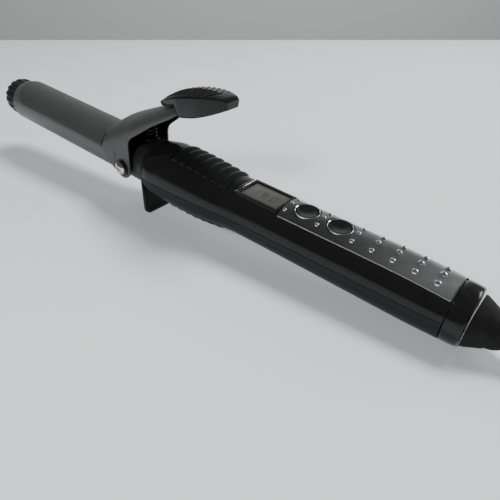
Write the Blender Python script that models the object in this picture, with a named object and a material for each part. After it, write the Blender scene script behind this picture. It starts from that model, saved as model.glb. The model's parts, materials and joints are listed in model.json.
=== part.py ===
"""Curling iron: a 25 mm heated barrel with a sprung clip, a two-shell handle with a display,
two buttons and a brushed panel, a stand plate at the collar, and a cord on a swivel.

Everything is drawn in the tool's own frame, in millimetres: X runs from the barrel's tip ring
to the cord, Y is to the left of that and Z is up from the barrel's axis. The tool frame is an
empty, which is tilted so that the tool rests on its stand plate and on its rear end cap.
"""
import math

import bpy
import bmesh
from mathutils import Matrix, Vector

MM = 0.001
GAP = 0.3                      # clearance between pieces that touch or seat on each other

# ---- barrel and its inside ----------------------------------------------------------------
BARREL_R = 12.5
BARREL_WALL = 1.0
BARREL_END_X = 140.0           # rear end of the tube, inside the handle
TIP_CYL = 7.5                  # straight stretch of the cool tip
TIP_DOME = 10.0                # domed stretch of the cool tip
TIP_R = 11.7
TIP_RIBS = 16
TIP_RIB_DEPTH = 0.7
HEATER_X0 = 15.0
HEATER_X1 = 98.0
ELEMENT_HALF = 1.2             # half the thickness of the heating element
ELEMENT_WIDTH = 9.0
HOLDER_X0 = 130.0              # the insulator that holds the barrel in the handle
HOLDER_BORE = 5.0
HOLDER_FLANGE = 3.2

# ---- clip ---------------------------------------------------------------------------------
PIVOT_X = 112.6
PIVOT_Z = -1.7
SHEET = 0.9                    # sheet metal thickness of the clip
SPOON_X0 = 5.0                 # rounded tip of the spoon
SPOON_TIP = 10.0               # length of that rounding
SPOON_X1 = 92.0
SPOON_HALF_ANGLE = 72.0        # degrees either side of the top
SPOON_GAP = 0.35               # spoon to barrel
EAR_HALF = 14.5                # outside half width over the ears
EAR_R = 6.2                    # round end of each ear, about the pivot
LEVER_END_X = 166.0
NOTCH_X = 93.0                 # relief slot between spoon and ears
NOTCH_W = 1.3
NOTCH_Y = 8.6
PIVOT_SHAFT_R = 1.6
PIVOT_HEAD_R = 3.6
PIVOT_WASHER_R = 4.6
PIVOT_BUSH_R = 3.2
HOLE_GAP = 0.3                 # radial clearance of the screws in their holes

# ---- handle -------------------------------------------------------------------------------
COLLAR_X0 = 127.0
COLLAR_T = 2.7
SHELL_X0 = COLLAR_X0 + COLLAR_T + GAP
CAP_X0 = 293.2
CAP_X1 = 300.3
WALL = 2.0
FOOT_Z = -25.3                 # bottom of the stand plate, below the barrel's axis
FOOT_HALF = 13.3
FOOT_CORNER = 3.0
PANEL_X0 = 212.6
PANEL_X1 = 292.3
PANEL_HALF = 9.3
PANEL_T = 0.7
BUTTON_XS = (222.6, 239.5)
BUTTON_R = 5.0
BUTTON_TOP = 14.2
BUTTON_TRIM_R = 6.0
BUTTON_GAP = 0.3
LCD_X0 = 187.2
LCD_X1 = 211.9
LCD_HALF = 8.6
LCD_BORDER = 2.0
LCD_TOP = 12.9
BOARD_X0 = 183.5
BOARD_X1 = 270.0
BOARD_Z = 4.2
BOARD_T = 1.6
BOARD_HALF = 10.0
RIB_X0 = 148.2                 # first of the grip's ribs
RIB_PITCH = 5.3
RIB_COUNT = 7
RIB_HEIGHT = 1.0
GRIP_HALF_UPPER = 9.4
GRIP_HALF_LOWER = 11.2
GRIP_DEPTH = 0.9
SCREW_XS = (174.0, 276.0)      # the two screws that hold the shells together
BOSS_R = 3.1
SCREW_R = 1.0
SCREW_HEAD_R = 2.4

# ---- swivel and cord ----------------------------------------------------------------------
SPINDLE_R = 5.5
SWIVEL_Z = 1.4                 # height of the swivel's axis above the barrel's
BOOT_X0 = 301.0
BOOT_R0 = 11.2
BOOT_X1 = 346.0
CORD_R = 3.1
CORD_FLOOR = 0.7               # lowest point of the cord: its tie lies under it
HANK_X = 54.0                  # from the strain relief's end to the first fold's centre
HANK_Y = -10.4                 # middle of the hank beside the tool's middle plane
HANK_RUN = 93.0                # length of the straight runs
HANK_FOLD_R = 24.8             # radius of the outer column's folds
HANK_COLUMNS = 2               # runs side by side
HANK_LAYERS = 3                # runs on each other
HANK_EDGE = 1.2                # chamfer of the solid that stands for the hank
TAIL_RUN = 45.0                # from the far fold's centre back to the plug's neck
TAIL_START = 20.0              # where the tail is clear of the hank's inner wall
PLUG_LEN = 36.0
PLUG_HALF = 12.0
PLUG_THICK = 16.0
PLUG_NECK = 4.6
BLADE_LEN = 17.5
BLADE_WIDE = 6.4
BLADE_T = 1.5
BLADE_PITCH = 12.7

SMALL = 16                     # sides of small round pieces
LARGE = 36                     # sides of the barrel


# ---- outline of the handle ----------------------------------------------------------------
def smooth_through(points, x):
    """Value at x of a monotone curve through (x, value) points."""
    if x <= points[0][0]:
        return points[0][1]
    for (x0, v0), (x1, v1) in zip(points, points[1:]):
        if x <= x1:
            t = (x - x0) / (x1 - x0)
            return v0 + (v1 - v0) * t * t * (3 - 2 * t)
    return points[-1][1]


def straight_through(points, x):
    if x <= points[0][0]:
        return points[0][1]
    for (x0, v0), (x1, v1) in zip(points, points[1:]):
        if x <= x1:
            return v0 + (v1 - v0) * (x - x0) / (x1 - x0)
    return points[-1][1]


HALF_WIDTH = ((127.0, 14.2), (130.0, 15.7), (134.0, 16.4), (150.0, 16.3), (168.0, 15.9),
              (192.0, 14.3), (215.0, 14.1), (275.0, 14.1), (300.3, 13.3))
TOP = ((127.0, 14.2), (129.7, 15.0), (139.5, 17.2))
TOP_REAR = ((139.5, 17.2), (160.0, 16.6), (187.0, 14.7), (230.0, 15.0), (265.0, 15.3), (300.3, 14.2))
BOTTOM = ((127.0, -14.2), (131.0, -14.9), (160.0, -15.4), (192.0, -12.0), (270.0, -11.9),
          (300.3, -11.3))
SPLIT_Z0 = -0.4
SPLIT_SLOPE = 0.0265


def half_width(x):
    return smooth_through(HALF_WIDTH, x)


def top(x):
    return straight_through(TOP, x) if x < TOP[-1][0] else smooth_through(TOP_REAR, x)


def bottom(x):
    return smooth_through(BOTTOM, x)


def split(x):
    """Height of the seam between the two shells."""
    return SPLIT_Z0 + SPLIT_SLOPE * (x - 132.0)


def top_at(x, y):
    """Height of the upper surface at a distance y from the middle."""
    return split(x) + (top(x) - split(x)) * math.sqrt(max(0.0, 1 - (y / half_width(x)) ** 2))


def bottom_at(x, y):
    return split(x) + (bottom(x) - split(x)) * math.sqrt(max(0.0, 1 - (y / half_width(x)) ** 2))


# ---- outline of the clip ------------------------------------------------------------------
SPOON_R = BARREL_R + SPOON_GAP + SHEET
LEVER_TOP = ((SPOON_X1 + 1.0, SPOON_R), (96.0, 15.3), (99.0, 17.9), (104.0, 21.4), (111.0, 25.6),
             (122.2, 31.0),
             (131.0, 35.0), (141.0, 39.0), (148.0, 41.8), (LEVER_END_X, 46.8))
LEVER_HALF = ((SPOON_X1, SPOON_R), (99.0, EAR_HALF), (119.0, EAR_HALF), (126.9, 13.0), (134.0, 10.9),
              (147.6, 9.0), (150.0, 6.8), (LEVER_END_X, 6.4))
LEVER_ARCH = ((SPOON_X1, SPOON_R), (98.0, 14.5), (111.0, 14.0), (122.0, 10.5), (134.0, 7.6), (148.0, 4.8),
              (LEVER_END_X, 3.0))
LEVER_EDGE = ((118.9, 13.4), (119.5, 15.8), (120.6, 17.4), (126.9, 22.3), (133.8, 27.6), (147.6, 36.4),
              (150.0, 38.6), (LEVER_END_X, 43.2))


def clip_edge(x):
    """Height of the clip's lower edge."""
    if x <= SPOON_X1:
        t = min(1.0, (x - SPOON_X0) / SPOON_TIP)
        half_angle = math.radians(max(5.0, SPOON_HALF_ANGLE * math.sqrt(max(0.0, 1 - (1 - t) ** 2))))
        return SPOON_R * math.cos(half_angle)
    level = SPOON_R * math.cos(math.radians(SPOON_HALF_ANGLE))
    ear_x = PIVOT_X - 0.8 * EAR_R
    ear_z = PIVOT_Z - 0.6 * EAR_R
    if x < ear_x:
        return level + (ear_z - level) * (x - SPOON_X1) / (ear_x - SPOON_X1)
    if x < PIVOT_X + EAR_R:
        return PIVOT_Z - math.sqrt(EAR_R ** 2 - (x - PIVOT_X) ** 2)
    return straight_through(LEVER_EDGE, x)


def clip_path(x, grow=0.0, count=14):
    """Points of the clip's outer outline across the tool at x, from one edge over to the other."""
    half = straight_through(LEVER_HALF, x) + grow
    crown = straight_through(LEVER_TOP, x) + grow
    arch = straight_through(LEVER_ARCH, x) + grow
    edge = clip_edge(x)
    centre = crown - arch
    dense = []
    if edge < centre:
        dense += [(half, edge + (centre - edge) * i / 6) for i in range(6)]
        start = 0.0
    else:
        start = math.asin(min(0.999, (edge - centre) / arch))
    for i in range(41):
        angle = start + (math.pi / 2 - start) * i / 40
        dense.append((half * math.cos(angle), centre + arch * math.sin(angle)))
    side = resample(dense, count // 2)
    return side[:-1] + [(-y, z) for y, z in reversed(side)]


def resample(points, count):
    """The same line with count equal steps."""
    lengths = [0.0]
    for a, b in zip(points, points[1:]):
        lengths.append(lengths[-1] + math.dist(a, b))
    result = []
    for i in range(count + 1):
        target = lengths[-1] * i / count
        k = next((k for k in range(1, len(lengths)) if lengths[k] >= target - 1e-9), len(lengths) - 1)
        t = (target - lengths[k - 1]) / max(1e-9, lengths[k] - lengths[k - 1])
        result.append(tuple(a + (b - a) * t for a, b in zip(points[k - 1], points[k])))
    return result


def offset_inward(points, distance):
    """The outline moved to its inside, which is to the left of its run from +Y over to -Y."""
    moved = []
    for i, (y, z) in enumerate(points):
        y0, z0 = points[max(0, i - 1)]
        y1, z1 = points[min(len(points) - 1, i + 1)]
        length = math.hypot(y1 - y0, z1 - z0)
        moved.append((y - (z1 - z0) / length * distance, z + (y1 - y0) / length * distance))
    return moved


# ---- how the tool rests -------------------------------------------------------------------
BOOT_PROFILE = ((BOOT_X0, BOOT_R0), (302.2, 11.0), (308.2, 8.2), (309.0, 7.5), (310.4, 7.4), (312.4, 6.6),
                (314.4, 5.2), (330.0, 4.8), (BOOT_X1, 4.2))


def resting_slope():
    """Slope of the surface in the tool frame: it touches the stand plate and the rear end."""
    stations = [200.0 + i for i in range(int(CAP_X1 - 200.0) + 1)] + [CAP_X1]
    slopes = [(bottom(x) - FOOT_Z) / (x - COLLAR_X0) for x in stations]
    slopes += [(SWIVEL_Z - r - FOOT_Z) / (x - COLLAR_X0) for x, r in BOOT_PROFILE]
    return min(slopes)


SLOPE = resting_slope()
TILT = math.atan(SLOPE)


def surface_z(x):
    """Height in the tool frame of the surface that the tool stands on."""
    return FOOT_Z + SLOPE * (x - COLLAR_X0)


# ---- scene and materials ------------------------------------------------------------------
def clear_scene():
    for old in list(bpy.data.objects):
        bpy.data.objects.remove(old, do_unlink=True)


def material(name, colour, roughness, metallic=0.0, alpha=1.0):
    made = bpy.data.materials.new(name)
    made.use_nodes = True
    shader = made.node_tree.nodes["Principled BSDF"]
    shader.inputs["Base Color"].default_value = (*colour, 1.0)
    shader.inputs["Roughness"].default_value = roughness
    shader.inputs["Metallic"].default_value = metallic
    shader.inputs["Alpha"].default_value = alpha
    made.diffuse_color = (*colour, 1.0)
    return made


FINISHES = {
    "barrel_grey": ((0.090, 0.092, 0.095), 0.42, 0.6),
    "clip_grey": ((0.060, 0.062, 0.065), 0.40, 0.6),
    "gloss_black": ((0.006, 0.006, 0.007), 0.22, 0.0),
    "satin_black": ((0.016, 0.017, 0.018), 0.42, 0.0),
    "rubber_black": ((0.012, 0.012, 0.014), 0.75, 0.0),
    "tip_black": ((0.010, 0.010, 0.011), 0.50, 0.0),
    "brushed_steel": ((0.55, 0.55, 0.56), 0.30, 1.0),
    "chrome": ((0.80, 0.80, 0.82), 0.10, 1.0),
    "nickel": ((0.62, 0.58, 0.50), 0.22, 1.0),
    "spring_steel": ((0.05, 0.05, 0.055), 0.35, 1.0),
    "zinc_steel": ((0.45, 0.45, 0.47), 0.40, 1.0),
    "display_glass": ((0.055, 0.058, 0.048), 0.12, 0.0),
    "display_body": ((0.10, 0.11, 0.10), 0.50, 0.0),
    "aluminium": ((0.60, 0.61, 0.62), 0.45, 1.0),
    "heater_ceramic": ((0.62, 0.60, 0.55), 0.70, 0.0),
    "glass_fibre": ((0.55, 0.52, 0.42), 0.80, 0.0),
    "board_green": ((0.02, 0.12, 0.05), 0.45, 0.0),
    "part_black": ((0.02, 0.02, 0.02), 0.50, 0.0),
    "capacitor_yellow": ((0.55, 0.38, 0.06), 0.45, 0.0),
    "brass": ((0.65, 0.48, 0.20), 0.30, 1.0),
    "nylon": ((0.70, 0.70, 0.66), 0.55, 0.0),
    "cord_black": ((0.010, 0.010, 0.011), 0.50, 0.0),
}
MATERIALS = {}


def finish(name):
    if name not in MATERIALS:
        MATERIALS[name] = material(name, *FINISHES[name])
    return MATERIALS[name]


# ---- mesh helpers -------------------------------------------------------------------------
def add_mesh(name, vertices, faces, finish_name, parent, origin=(0, 0, 0), cutter=False):
    """An object from points in the tool frame (mm), with its origin at a point of that frame."""
    mesh = bpy.data.meshes.new(name)
    shift = Vector(origin)
    mesh.from_pydata([(Vector(v) - shift) * MM for v in vertices], [], faces)
    bm = bmesh.new()
    bm.from_mesh(mesh)
    bmesh.ops.recalc_face_normals(bm, faces=bm.faces)
    bm.to_mesh(mesh)
    bm.free()
    mesh.shade_smooth()
    mesh.set_sharp_from_angle(angle=math.radians(35))
    made = bpy.data.objects.new(name, mesh)
    bpy.context.scene.collection.objects.link(made)
    made.location = shift * MM
    made.parent = parent
    if cutter:
        made.hide_render = True
        made.display_type = "WIRE"
    else:
        mesh.materials.append(finish(finish_name))
    return made


def loft(rings):
    """Vertices and faces of a closed solid through rings of equal length, with flat ends."""
    count = len(rings[0])
    vertices = [v for ring in rings for v in ring]
    faces = []
    for r in range(len(rings) - 1):
        for i in range(count):
            j = (i + 1) % count
            faces.append((r * count + i, r * count + j, (r + 1) * count + j, (r + 1) * count + i))
    faces.append(tuple(range(count))[::-1])
    faces.append(tuple((len(rings) - 1) * count + i for i in range(count)))
    return vertices, faces


def turned(profile, sides, centre=(0.0, 0.0), axis="X", radius_at=None):
    """A closed solid turned about an axis. profile is a closed line of (along, radius) points."""
    vertices, rows = [], []
    for along, radius in profile:
        if radius < 1e-6:
            rows.append([len(vertices)])
            vertices.append(turned_point(along, 0.0, 0.0, centre, axis))
            continue
        rows.append(list(range(len(vertices), len(vertices) + sides)))
        for i in range(sides):
            angle = 2 * math.pi * (i + 0.5) / sides
            r = radius if radius_at is None else radius_at(radius, i)
            vertices.append(turned_point(along, r, angle, centre, axis))
    faces = []
    for a, b in zip(rows, rows[1:] + rows[:1]):
        if len(a) == 1 and len(b) == 1:
            continue
        for i in range(sides):
            j = (i + 1) % sides
            face = [a[i % len(a)], a[j % len(a)], b[j % len(b)], b[i % len(b)]]
            faces.append(tuple(dict.fromkeys(face)))
    return vertices, faces


def turned_point(along, radius, angle, centre, axis):
    u = centre[0] + radius * math.cos(angle)
    v = centre[1] + radius * math.sin(angle)
    if axis == "X":
        return (along, u, v)
    if axis == "Y":
        return (u, along, v)
    return (u, v, along)


def rod(along0, along1, radius):
    """Profile of a plain cylinder."""
    return ((along0, 0.0), (along0, radius), (along1, radius), (along1, 0.0))


def tube(along0, along1, inner, outer):
    """Profile of a ring."""
    return ((along0, inner), (along0, outer), (along1, outer), (along1, inner))


def block(x0, x1, y0, y1, z0, z1):
    return loft([[(x, y0, z0), (x, y1, z0), (x, y1, z1), (x, y0, z1)] for x in (x0, x1)])


def rounded_block(x0, x1, y0, y1, z0, z1, corner, steps=3):
    """A block whose four upright edges are rounded."""
    ring = []
    for cx, cy, turn in ((x1 - corner, y1 - corner, 0), (x0 + corner, y1 - corner, 1),
                         (x0 + corner, y0 + corner, 2), (x1 - corner, y0 + corner, 3)):
        for i in range(steps + 1):
            angle = math.pi / 2 * (turn + i / steps)
            ring.append((cx + corner * math.cos(angle), cy + corner * math.sin(angle)))
    return loft([[(x, y, z) for x, y in ring] for z in (z0, z1)])


def boolean(target, cutter, operation="DIFFERENCE", solver="EXACT"):
    modifier = target.modifiers.new(cutter.name, "BOOLEAN")
    modifier.object = cutter
    modifier.operation = operation
    modifier.solver = solver


def cut(target, name, solid, parent, origin=(0, 0, 0), solver="EXACT"):
    boolean(target, add_mesh(name, *solid, None, parent, origin, cutter=True), solver=solver)


def join_on(target, name, solid, parent, origin=(0, 0, 0)):
    boolean(target, add_mesh(name, *solid, None, parent, origin, cutter=True), "UNION")


# ---- barrel, heater and what is inside ----------------------------------------------------
def build_barrel(tool):
    barrel = add_mesh("barrel_tube", *turned(tube(GAP, BARREL_END_X, BARREL_R - BARREL_WALL, BARREL_R),
                                             LARGE),
                      "barrel_grey", tool)
    cut(barrel, "barrel_pivot_holes",
        turned(rod(-BARREL_R - 2, BARREL_R + 2, PIVOT_SHAFT_R + HOLE_GAP), SMALL, (PIVOT_X, PIVOT_Z), "Y"),
        tool)

    plug_r = BARREL_R - BARREL_WALL - GAP
    dome = [(-TIP_CYL - TIP_DOME * math.sin(a), TIP_R * math.cos(a))
            for a in (math.pi / 2 * i / 6 for i in range(6))]
    profile = [(-TIP_CYL - TIP_DOME, 0.0)] + dome[::-1] + [(0.0, TIP_R), (0.0, plug_r), (4.0, plug_r),
                                                         (4.0, 2.2), (-6.0, 2.2), (-6.0, 0.0)]

    def ribbed(radius, i):
        in_rib = i % 2 and radius > plug_r * 0.55 and radius != plug_r
        return radius - (TIP_RIB_DEPTH if in_rib else 0.0)

    add_mesh("cool_tip", *turned(profile, TIP_RIBS * 2, radius_at=ribbed), "tip_black", tool)
    bush = ((4.3, 2.2), (4.3, plug_r), (9.0, plug_r), (9.0, 2.2))
    add_mesh("tip_bush", *turned(bush, 32), "glass_fibre", tool)
    screw = ((-5.0, 0.0), (-5.0, 1.5), (9.3, 1.5), (9.3, 3.2), (11.3, 2.9), (11.3, 0.0))
    add_mesh("tip_screw", *turned(screw, SMALL), "zinc_steel", tool)

    core_r = BARREL_R - BARREL_WALL - GAP
    flat = ELEMENT_HALF + GAP
    for name, sign in (("heater_clamp_upper", 1), ("heater_clamp_lower", -1)):
        start = math.asin(flat / core_r)
        arc = [start + (math.pi - 2 * start) * i / 14 for i in range(15)]
        outline = [(core_r * math.cos(a), sign * core_r * math.sin(a)) for a in arc]
        add_mesh(name, *loft([[(x, y, z) for y, z in outline] for x in (HEATER_X0, HEATER_X1)]),
                 "aluminium", tool)
    add_mesh("heating_element", *block(HEATER_X0 + 5, HEATER_X1 + 3, -ELEMENT_WIDTH / 2, ELEMENT_WIDTH / 2,
                                       -ELEMENT_HALF, ELEMENT_HALF), "heater_ceramic", tool)
    add_mesh("thermal_fuse", *turned(((99.0, 0.0), (99.0, 0.6), (100.0, 1.6), (108.5, 1.6), (109.5, 0.6),
                                      (109.5, 0.0)), 12, (0.0, 6.4)), "zinc_steel", tool)
    add_mesh("temperature_sensor", *turned(((98.5, 0.0), (98.5, 0.9), (102.5, 0.9), (102.5, 0.0)), 12,
                                           (5.0, 4.6)), "part_black", tool)

    flange_x0 = BARREL_END_X + GAP
    flange_x1 = flange_x0 + HOLDER_FLANGE
    holder = ((HOLDER_X0, HOLDER_BORE), (HOLDER_X0, core_r), (flange_x0, core_r), (flange_x0, BARREL_R),
              (flange_x1, BARREL_R), (flange_x1, HOLDER_BORE))
    add_mesh("barrel_holder", *turned(holder, 32), "glass_fibre", tool)


def build_leads(tool):
    """Insulated leads from the heater, the fuse and the sensor to the circuit board."""
    last_x = BOARD_X0 - 1.0
    lead_z = BOARD_Z + BOARD_T / 2
    routes = {
        "heater_lead_live": (1.0, [(101.6, 2.6, 0.0), (112, 2.6, 0.0), (124, 2.6, 0.6), (146, 2.6, 0.8),
                                   (158, 5.6, 1.8), (172, 6.6, 3.6), (last_x, 6.0, lead_z)]),
        "heater_lead_neutral": (1.0, [(101.6, -2.6, 0.0), (112, -2.6, 0.0), (124, -2.6, 0.6),
                                      (146, -2.6, 0.8),
                                      (158, -5.6, 1.8), (172, -6.6, 3.6), (last_x, -6.0, lead_z)]),
        "sensor_lead": (0.6, [(103.2, 5.0, 4.6), (112, 4.0, 4.4), (124, 2.0, 3.6), (146, 0.6, 3.4),
                              (158, 3.6, 4.0), (168, 8.8, 4.4), (178, 9.0, 4.8), (last_x, 8.6, lead_z)]),
    }
    for name, (radius, points) in routes.items():
        make_cord(name, smooth_route(points, 2), radius, "nylon", tool, 1)


def smooth_route(points, steps):
    """Points of a Catmull-Rom curve through the given ones."""
    vectors = [Vector(p) for p in points]
    padded = [2 * vectors[0] - vectors[1]] + vectors + [2 * vectors[-1] - vectors[-2]]
    route = []
    for a, b, c, d in zip(padded, padded[1:], padded[2:], padded[3:]):
        for i in range(steps):
            t = i / steps
            route.append(0.5 * ((2 * b) + (c - a) * t + (2 * a - 5 * b + 4 * c - d) * t * t
                                + (3 * b - a - 3 * c + d) * t ** 3))
    return route + [vectors[-1]]


def make_cord(name, points, radius, finish_name, parent, resolution=2):
    """A round cord as a curve with filled ends, points in millimetres."""
    curve = bpy.data.curves.new(name, "CURVE")
    curve.dimensions = "3D"
    curve.bevel_depth = radius * MM
    curve.bevel_resolution = resolution
    curve.use_fill_caps = True
    line = curve.splines.new("POLY")
    line.points.add(len(points) - 1)
    for point, place in zip(line.points, points):
        point.co = (*(Vector(place) * MM), 1.0)
    curve.materials.append(finish(finish_name))
    made = bpy.data.objects.new(name, curve)
    bpy.context.scene.collection.objects.link(made)
    made.parent = parent
    return made


# ---- clip ---------------------------------------------------------------------------------
def clip_stations():
    tip = [SPOON_X0 + SPOON_TIP * t for t in (0.0, 0.04, 0.12, 0.25, 0.45, 0.7, 1.0)]
    spoon = [35.0, 63.0, SPOON_X1 - 0.1]
    ear = [SPOON_X1 + 2.5, 98.0, 102.5, PIVOT_X - 0.8 * EAR_R, PIVOT_X - 3.2, PIVOT_X, PIVOT_X + 3.2,
           PIVOT_X + 0.8 * EAR_R, PIVOT_X + EAR_R - 0.05]
    lever = [118.9, 119.5, 120.6, 126.9, 133.8, 141.0, 147.6, 150.0, LEVER_END_X]
    return tip + spoon + ear + lever


def build_clip(tool):
    pivot = (PIVOT_X, 0.0, PIVOT_Z)
    rings = []
    for x in clip_stations():
        outer = clip_path(x)
        inner = offset_inward(outer, SHEET)
        rings.append([(x, y, z) for y, z in outer + inner[::-1]])
    clip = add_mesh("clip_plate", *loft(rings), "clip_grey", tool, pivot)
    cut(clip, "clip_pivot_holes", turned(rod(-20, 20, PIVOT_SHAFT_R + HOLE_GAP), SMALL, (PIVOT_X, PIVOT_Z),
                                         "Y"),
        tool, pivot, "MANIFOLD")
    for side in (1, -1):
        notch = []
        for x in (NOTCH_X, NOTCH_X + NOTCH_W):
            notch.append([(x, side * NOTCH_Y, 0.0), (x, side * 18.0, 0.0), (x, side * 18.0, 15.0),
                          (x, side * NOTCH_Y, 15.0)])
        cut(clip, f"clip_notch_{'left' if side > 0 else 'right'}", loft(notch), tool, pivot, "MANIFOLD")
    return clip


PAD_X0 = 134.0
PAD_X1 = 177.0
PAD_HALF = ((134.0, 4.6), (137.0, 6.4), (143.0, 8.0), (152.0, 9.0), (161.0, 8.9), (169.0, 7.4), (174.0, 5.6),
            (PAD_X1, 4.0))
PAD_RIDGE = ((134.0, 39.2), (139.4, 41.9), (149.0, 45.7), (162.5, 49.5), (171.0, 51.0), (174.5, 51.2),
             (PAD_X1, 50.6))
PAD_DOME = ((134.0, 0.2), (140.0, 1.7), (147.0, 2.7), (155.0, 2.9), (163.0, 2.2), (171.0, 1.2), (174.5, 0.7),
            (PAD_X1, 0.2))
PAD_UNDER = ((134.0, 37.8), (139.6, 38.8), (147.6, 41.4), (149.4, 37.0), (157.0, 38.5), (163.5, 40.8),
             (171.0, 44.2), (PAD_X1, 47.3))
PAD_SCREW_X = 158.0


def pad_section(x):
    """Outline of the thumb pad across the tool: domed top, upright sides, flat underside."""
    half = straight_through(PAD_HALF, x)
    ridge = straight_through(PAD_RIDGE, x)
    dome = straight_through(PAD_DOME, x)
    under = straight_through(PAD_UNDER, x)
    arc = [(half * math.cos(math.pi * i / 10), ridge + dome * math.sin(math.pi * i / 10)) for i in range(11)]
    return arc + [(-half * 0.94, under), (half * 0.94, under)]


def build_thumb_pad(tool):
    pivot = (PIVOT_X, 0.0, PIVOT_Z)
    xs = [134.0, 135.2, 137.0, 139.6, 143.0, 147.4, 149.4, 152.0, 157.0, 161.0, 166.0, 171.0, 174.5, PAD_X1]
    rings = [[(x, y, z) for y, z in pad_section(x)] for x in xs]
    pad = add_mesh("thumb_pad", *loft(rings), "satin_black", tool, pivot)
    hollow = []
    for x in (125.0, 133.8, 141.0, 147.6, 150.0 + GAP, LEVER_END_X + 1.0):
        outline = clip_path(x, grow=GAP + 0.1)
        hollow.append([(x, y, z) for y, z in outline + [(outline[-1][0], 20.0), (outline[0][0], 20.0)]])
    cut(pad, "pad_hollow", loft(hollow), tool, pivot)
    crown = straight_through(LEVER_TOP, PAD_SCREW_X)
    place = (PAD_SCREW_X, 0.0)
    cut(pad, "pad_screw_bore", turned(rod(crown - 6, crown + 3.5, SCREW_R + HOLE_GAP), 12, place, "Z"),
        tool, pivot)
    clip = bpy.data.objects["clip_plate"]
    cut(clip, "clip_screw_hole", turned(rod(crown - 6, crown + 3.5, SCREW_R + HOLE_GAP), 12, place, "Z"),
        tool,
        pivot)
    head = crown - SHEET - 1.1
    screw = ((head - 1.4, 0.0), (head - 1.4, 2.2), (head, 2.2), (head, SCREW_R), (crown + 3.0, SCREW_R),
             (crown + 3.0, 0.0))
    add_mesh("pad_screw", *turned(screw, 16, place, "Z"), "zinc_steel", tool, pivot)


def build_pivot(tool):
    """Screws, washers and bushes on both sides, and the tapped plate inside the barrel."""
    place = (PIVOT_X, PIVOT_Z)
    ear_in = EAR_HALF - SHEET
    for side, name in ((1, "left"), (-1, "right")):
        washer0 = EAR_HALF + GAP
        head0 = washer0 + 0.6 + GAP
        shaft = ((7.0, 0.0), (7.0, PIVOT_SHAFT_R), (head0, PIVOT_SHAFT_R), (head0, PIVOT_HEAD_R),
                 (head0 + 1.0, PIVOT_HEAD_R), (head0 + 1.8, PIVOT_HEAD_R - 1.2), (head0 + 1.8, 0.0))
        add_mesh(f"pivot_screw_{name}", *turned([(side * a, r) for a, r in shaft], SMALL, place, "Y"),
                 "nickel", tool,
                 (PIVOT_X, 0.0, PIVOT_Z))
        ring = tube(side * washer0, side * (washer0 + 0.6), PIVOT_SHAFT_R + HOLE_GAP, PIVOT_WASHER_R)
        add_mesh(f"pivot_washer_{name}", *turned(ring, SMALL, place, "Y"), "spring_steel", tool,
                 (PIVOT_X, 0.0, PIVOT_Z))
        ring = tube(side * (BARREL_R + GAP), side * (ear_in - GAP), PIVOT_SHAFT_R + HOLE_GAP, PIVOT_BUSH_R)
        add_mesh(f"pivot_bush_{name}", *turned(ring, SMALL, place, "Y"), "nylon", tool,
                 (PIVOT_X, 0.0, PIVOT_Z))
    section = [(-9, 1.8), (-9, -6.2), (9, -6.2), (9, 1.8), (7.4, 1.8), (7.4, -4.8), (-7.4, -4.8), (-7.4, 1.8)]
    plate = add_mesh("pivot_plate", *loft([[(x, y, z) for y, z in section] for x in (PIVOT_X - 4.6,
                                                                                     PIVOT_X + 4.6)]),
                     "zinc_steel", tool)
    cut(plate, "plate_holes", turned(rod(-12, 12, PIVOT_SHAFT_R + HOLE_GAP), SMALL, place, "Y"), tool)


SADDLE_R0 = BARREL_R + GAP
SADDLE_R1 = 14.1
SPRING_X = 121.2
SPRING_R = 2.9
SPRING_WIRE = 0.45
SPRING_TURNS = 6
SPRING_Z0 = 16.0
SPRING_Z1 = 28.3


def arc_slab(x0, x1, half_angle, r0, r1, steps):
    """A stretch of a tube wall, half_angle degrees either side of the top."""
    angles = [math.radians(90 - half_angle + 2 * half_angle * i / steps) for i in range(steps + 1)]
    outline = [(r1 * math.cos(a), r1 * math.sin(a)) for a in angles]
    outline += [(r0 * math.cos(a), r0 * math.sin(a)) for a in reversed(angles)]
    return loft([[(x, y, z) for y, z in outline] for x in (x0, x1)])


def build_spring(tool):
    saddle = add_mesh("spring_saddle", *arc_slab(116.2, COLLAR_X0 - GAP, 30.0, SADDLE_R0, SADDLE_R1, 8),
                      "satin_black", tool)
    join_on(saddle, "saddle_band", arc_slab(112.4, 116.8, 52.0, SADDLE_R0 + 0.03, SADDLE_R1 + 0.05, 12), tool)
    join_on(saddle, "saddle_boss", turned(rod(SADDLE_R1 - 0.6, SPRING_Z0 - GAP - SPRING_WIRE, 4.4), SMALL,
                                          (SPRING_X, 0.0), "Z"), tool)
    coil = []
    steps = 10
    for i in range(SPRING_TURNS * steps + 1):
        angle = 2 * math.pi * i / steps
        rise = (SPRING_Z1 - SPRING_Z0) * i / (SPRING_TURNS * steps)
        coil.append((SPRING_X + SPRING_R * math.cos(angle), SPRING_R * math.sin(angle), SPRING_Z0 + rise))
    make_cord("clip_spring", coil, SPRING_WIRE, "spring_steel", tool, 1)


# ---- handle -------------------------------------------------------------------------------
SHELL_STATIONS = (SHELL_X0, 134.0, 139.5, 150.0, 160.0, 168.0, 174.0, 180.0, 186.0, 192.0, 215.0, 245.0,
                  272.0, CAP_X0 - GAP)


def shell_ring(x, upper, steps=12):
    """Closed outline of one shell's wall at x."""
    seam = split(x) if upper else split(x) - GAP
    height = top(x) - seam if upper else bottom(x) - seam
    wall = WALL if upper else -WALL
    half = half_width(x)
    angles = [math.pi * i / steps for i in range(steps + 1)]
    outer = [(x, half * math.cos(a), seam + height * math.sin(a)) for a in angles]
    inner = [(x, (half - WALL) * math.cos(a), seam + (height - wall) * math.sin(a)) for a in reversed(angles)]
    return outer + inner


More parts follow.
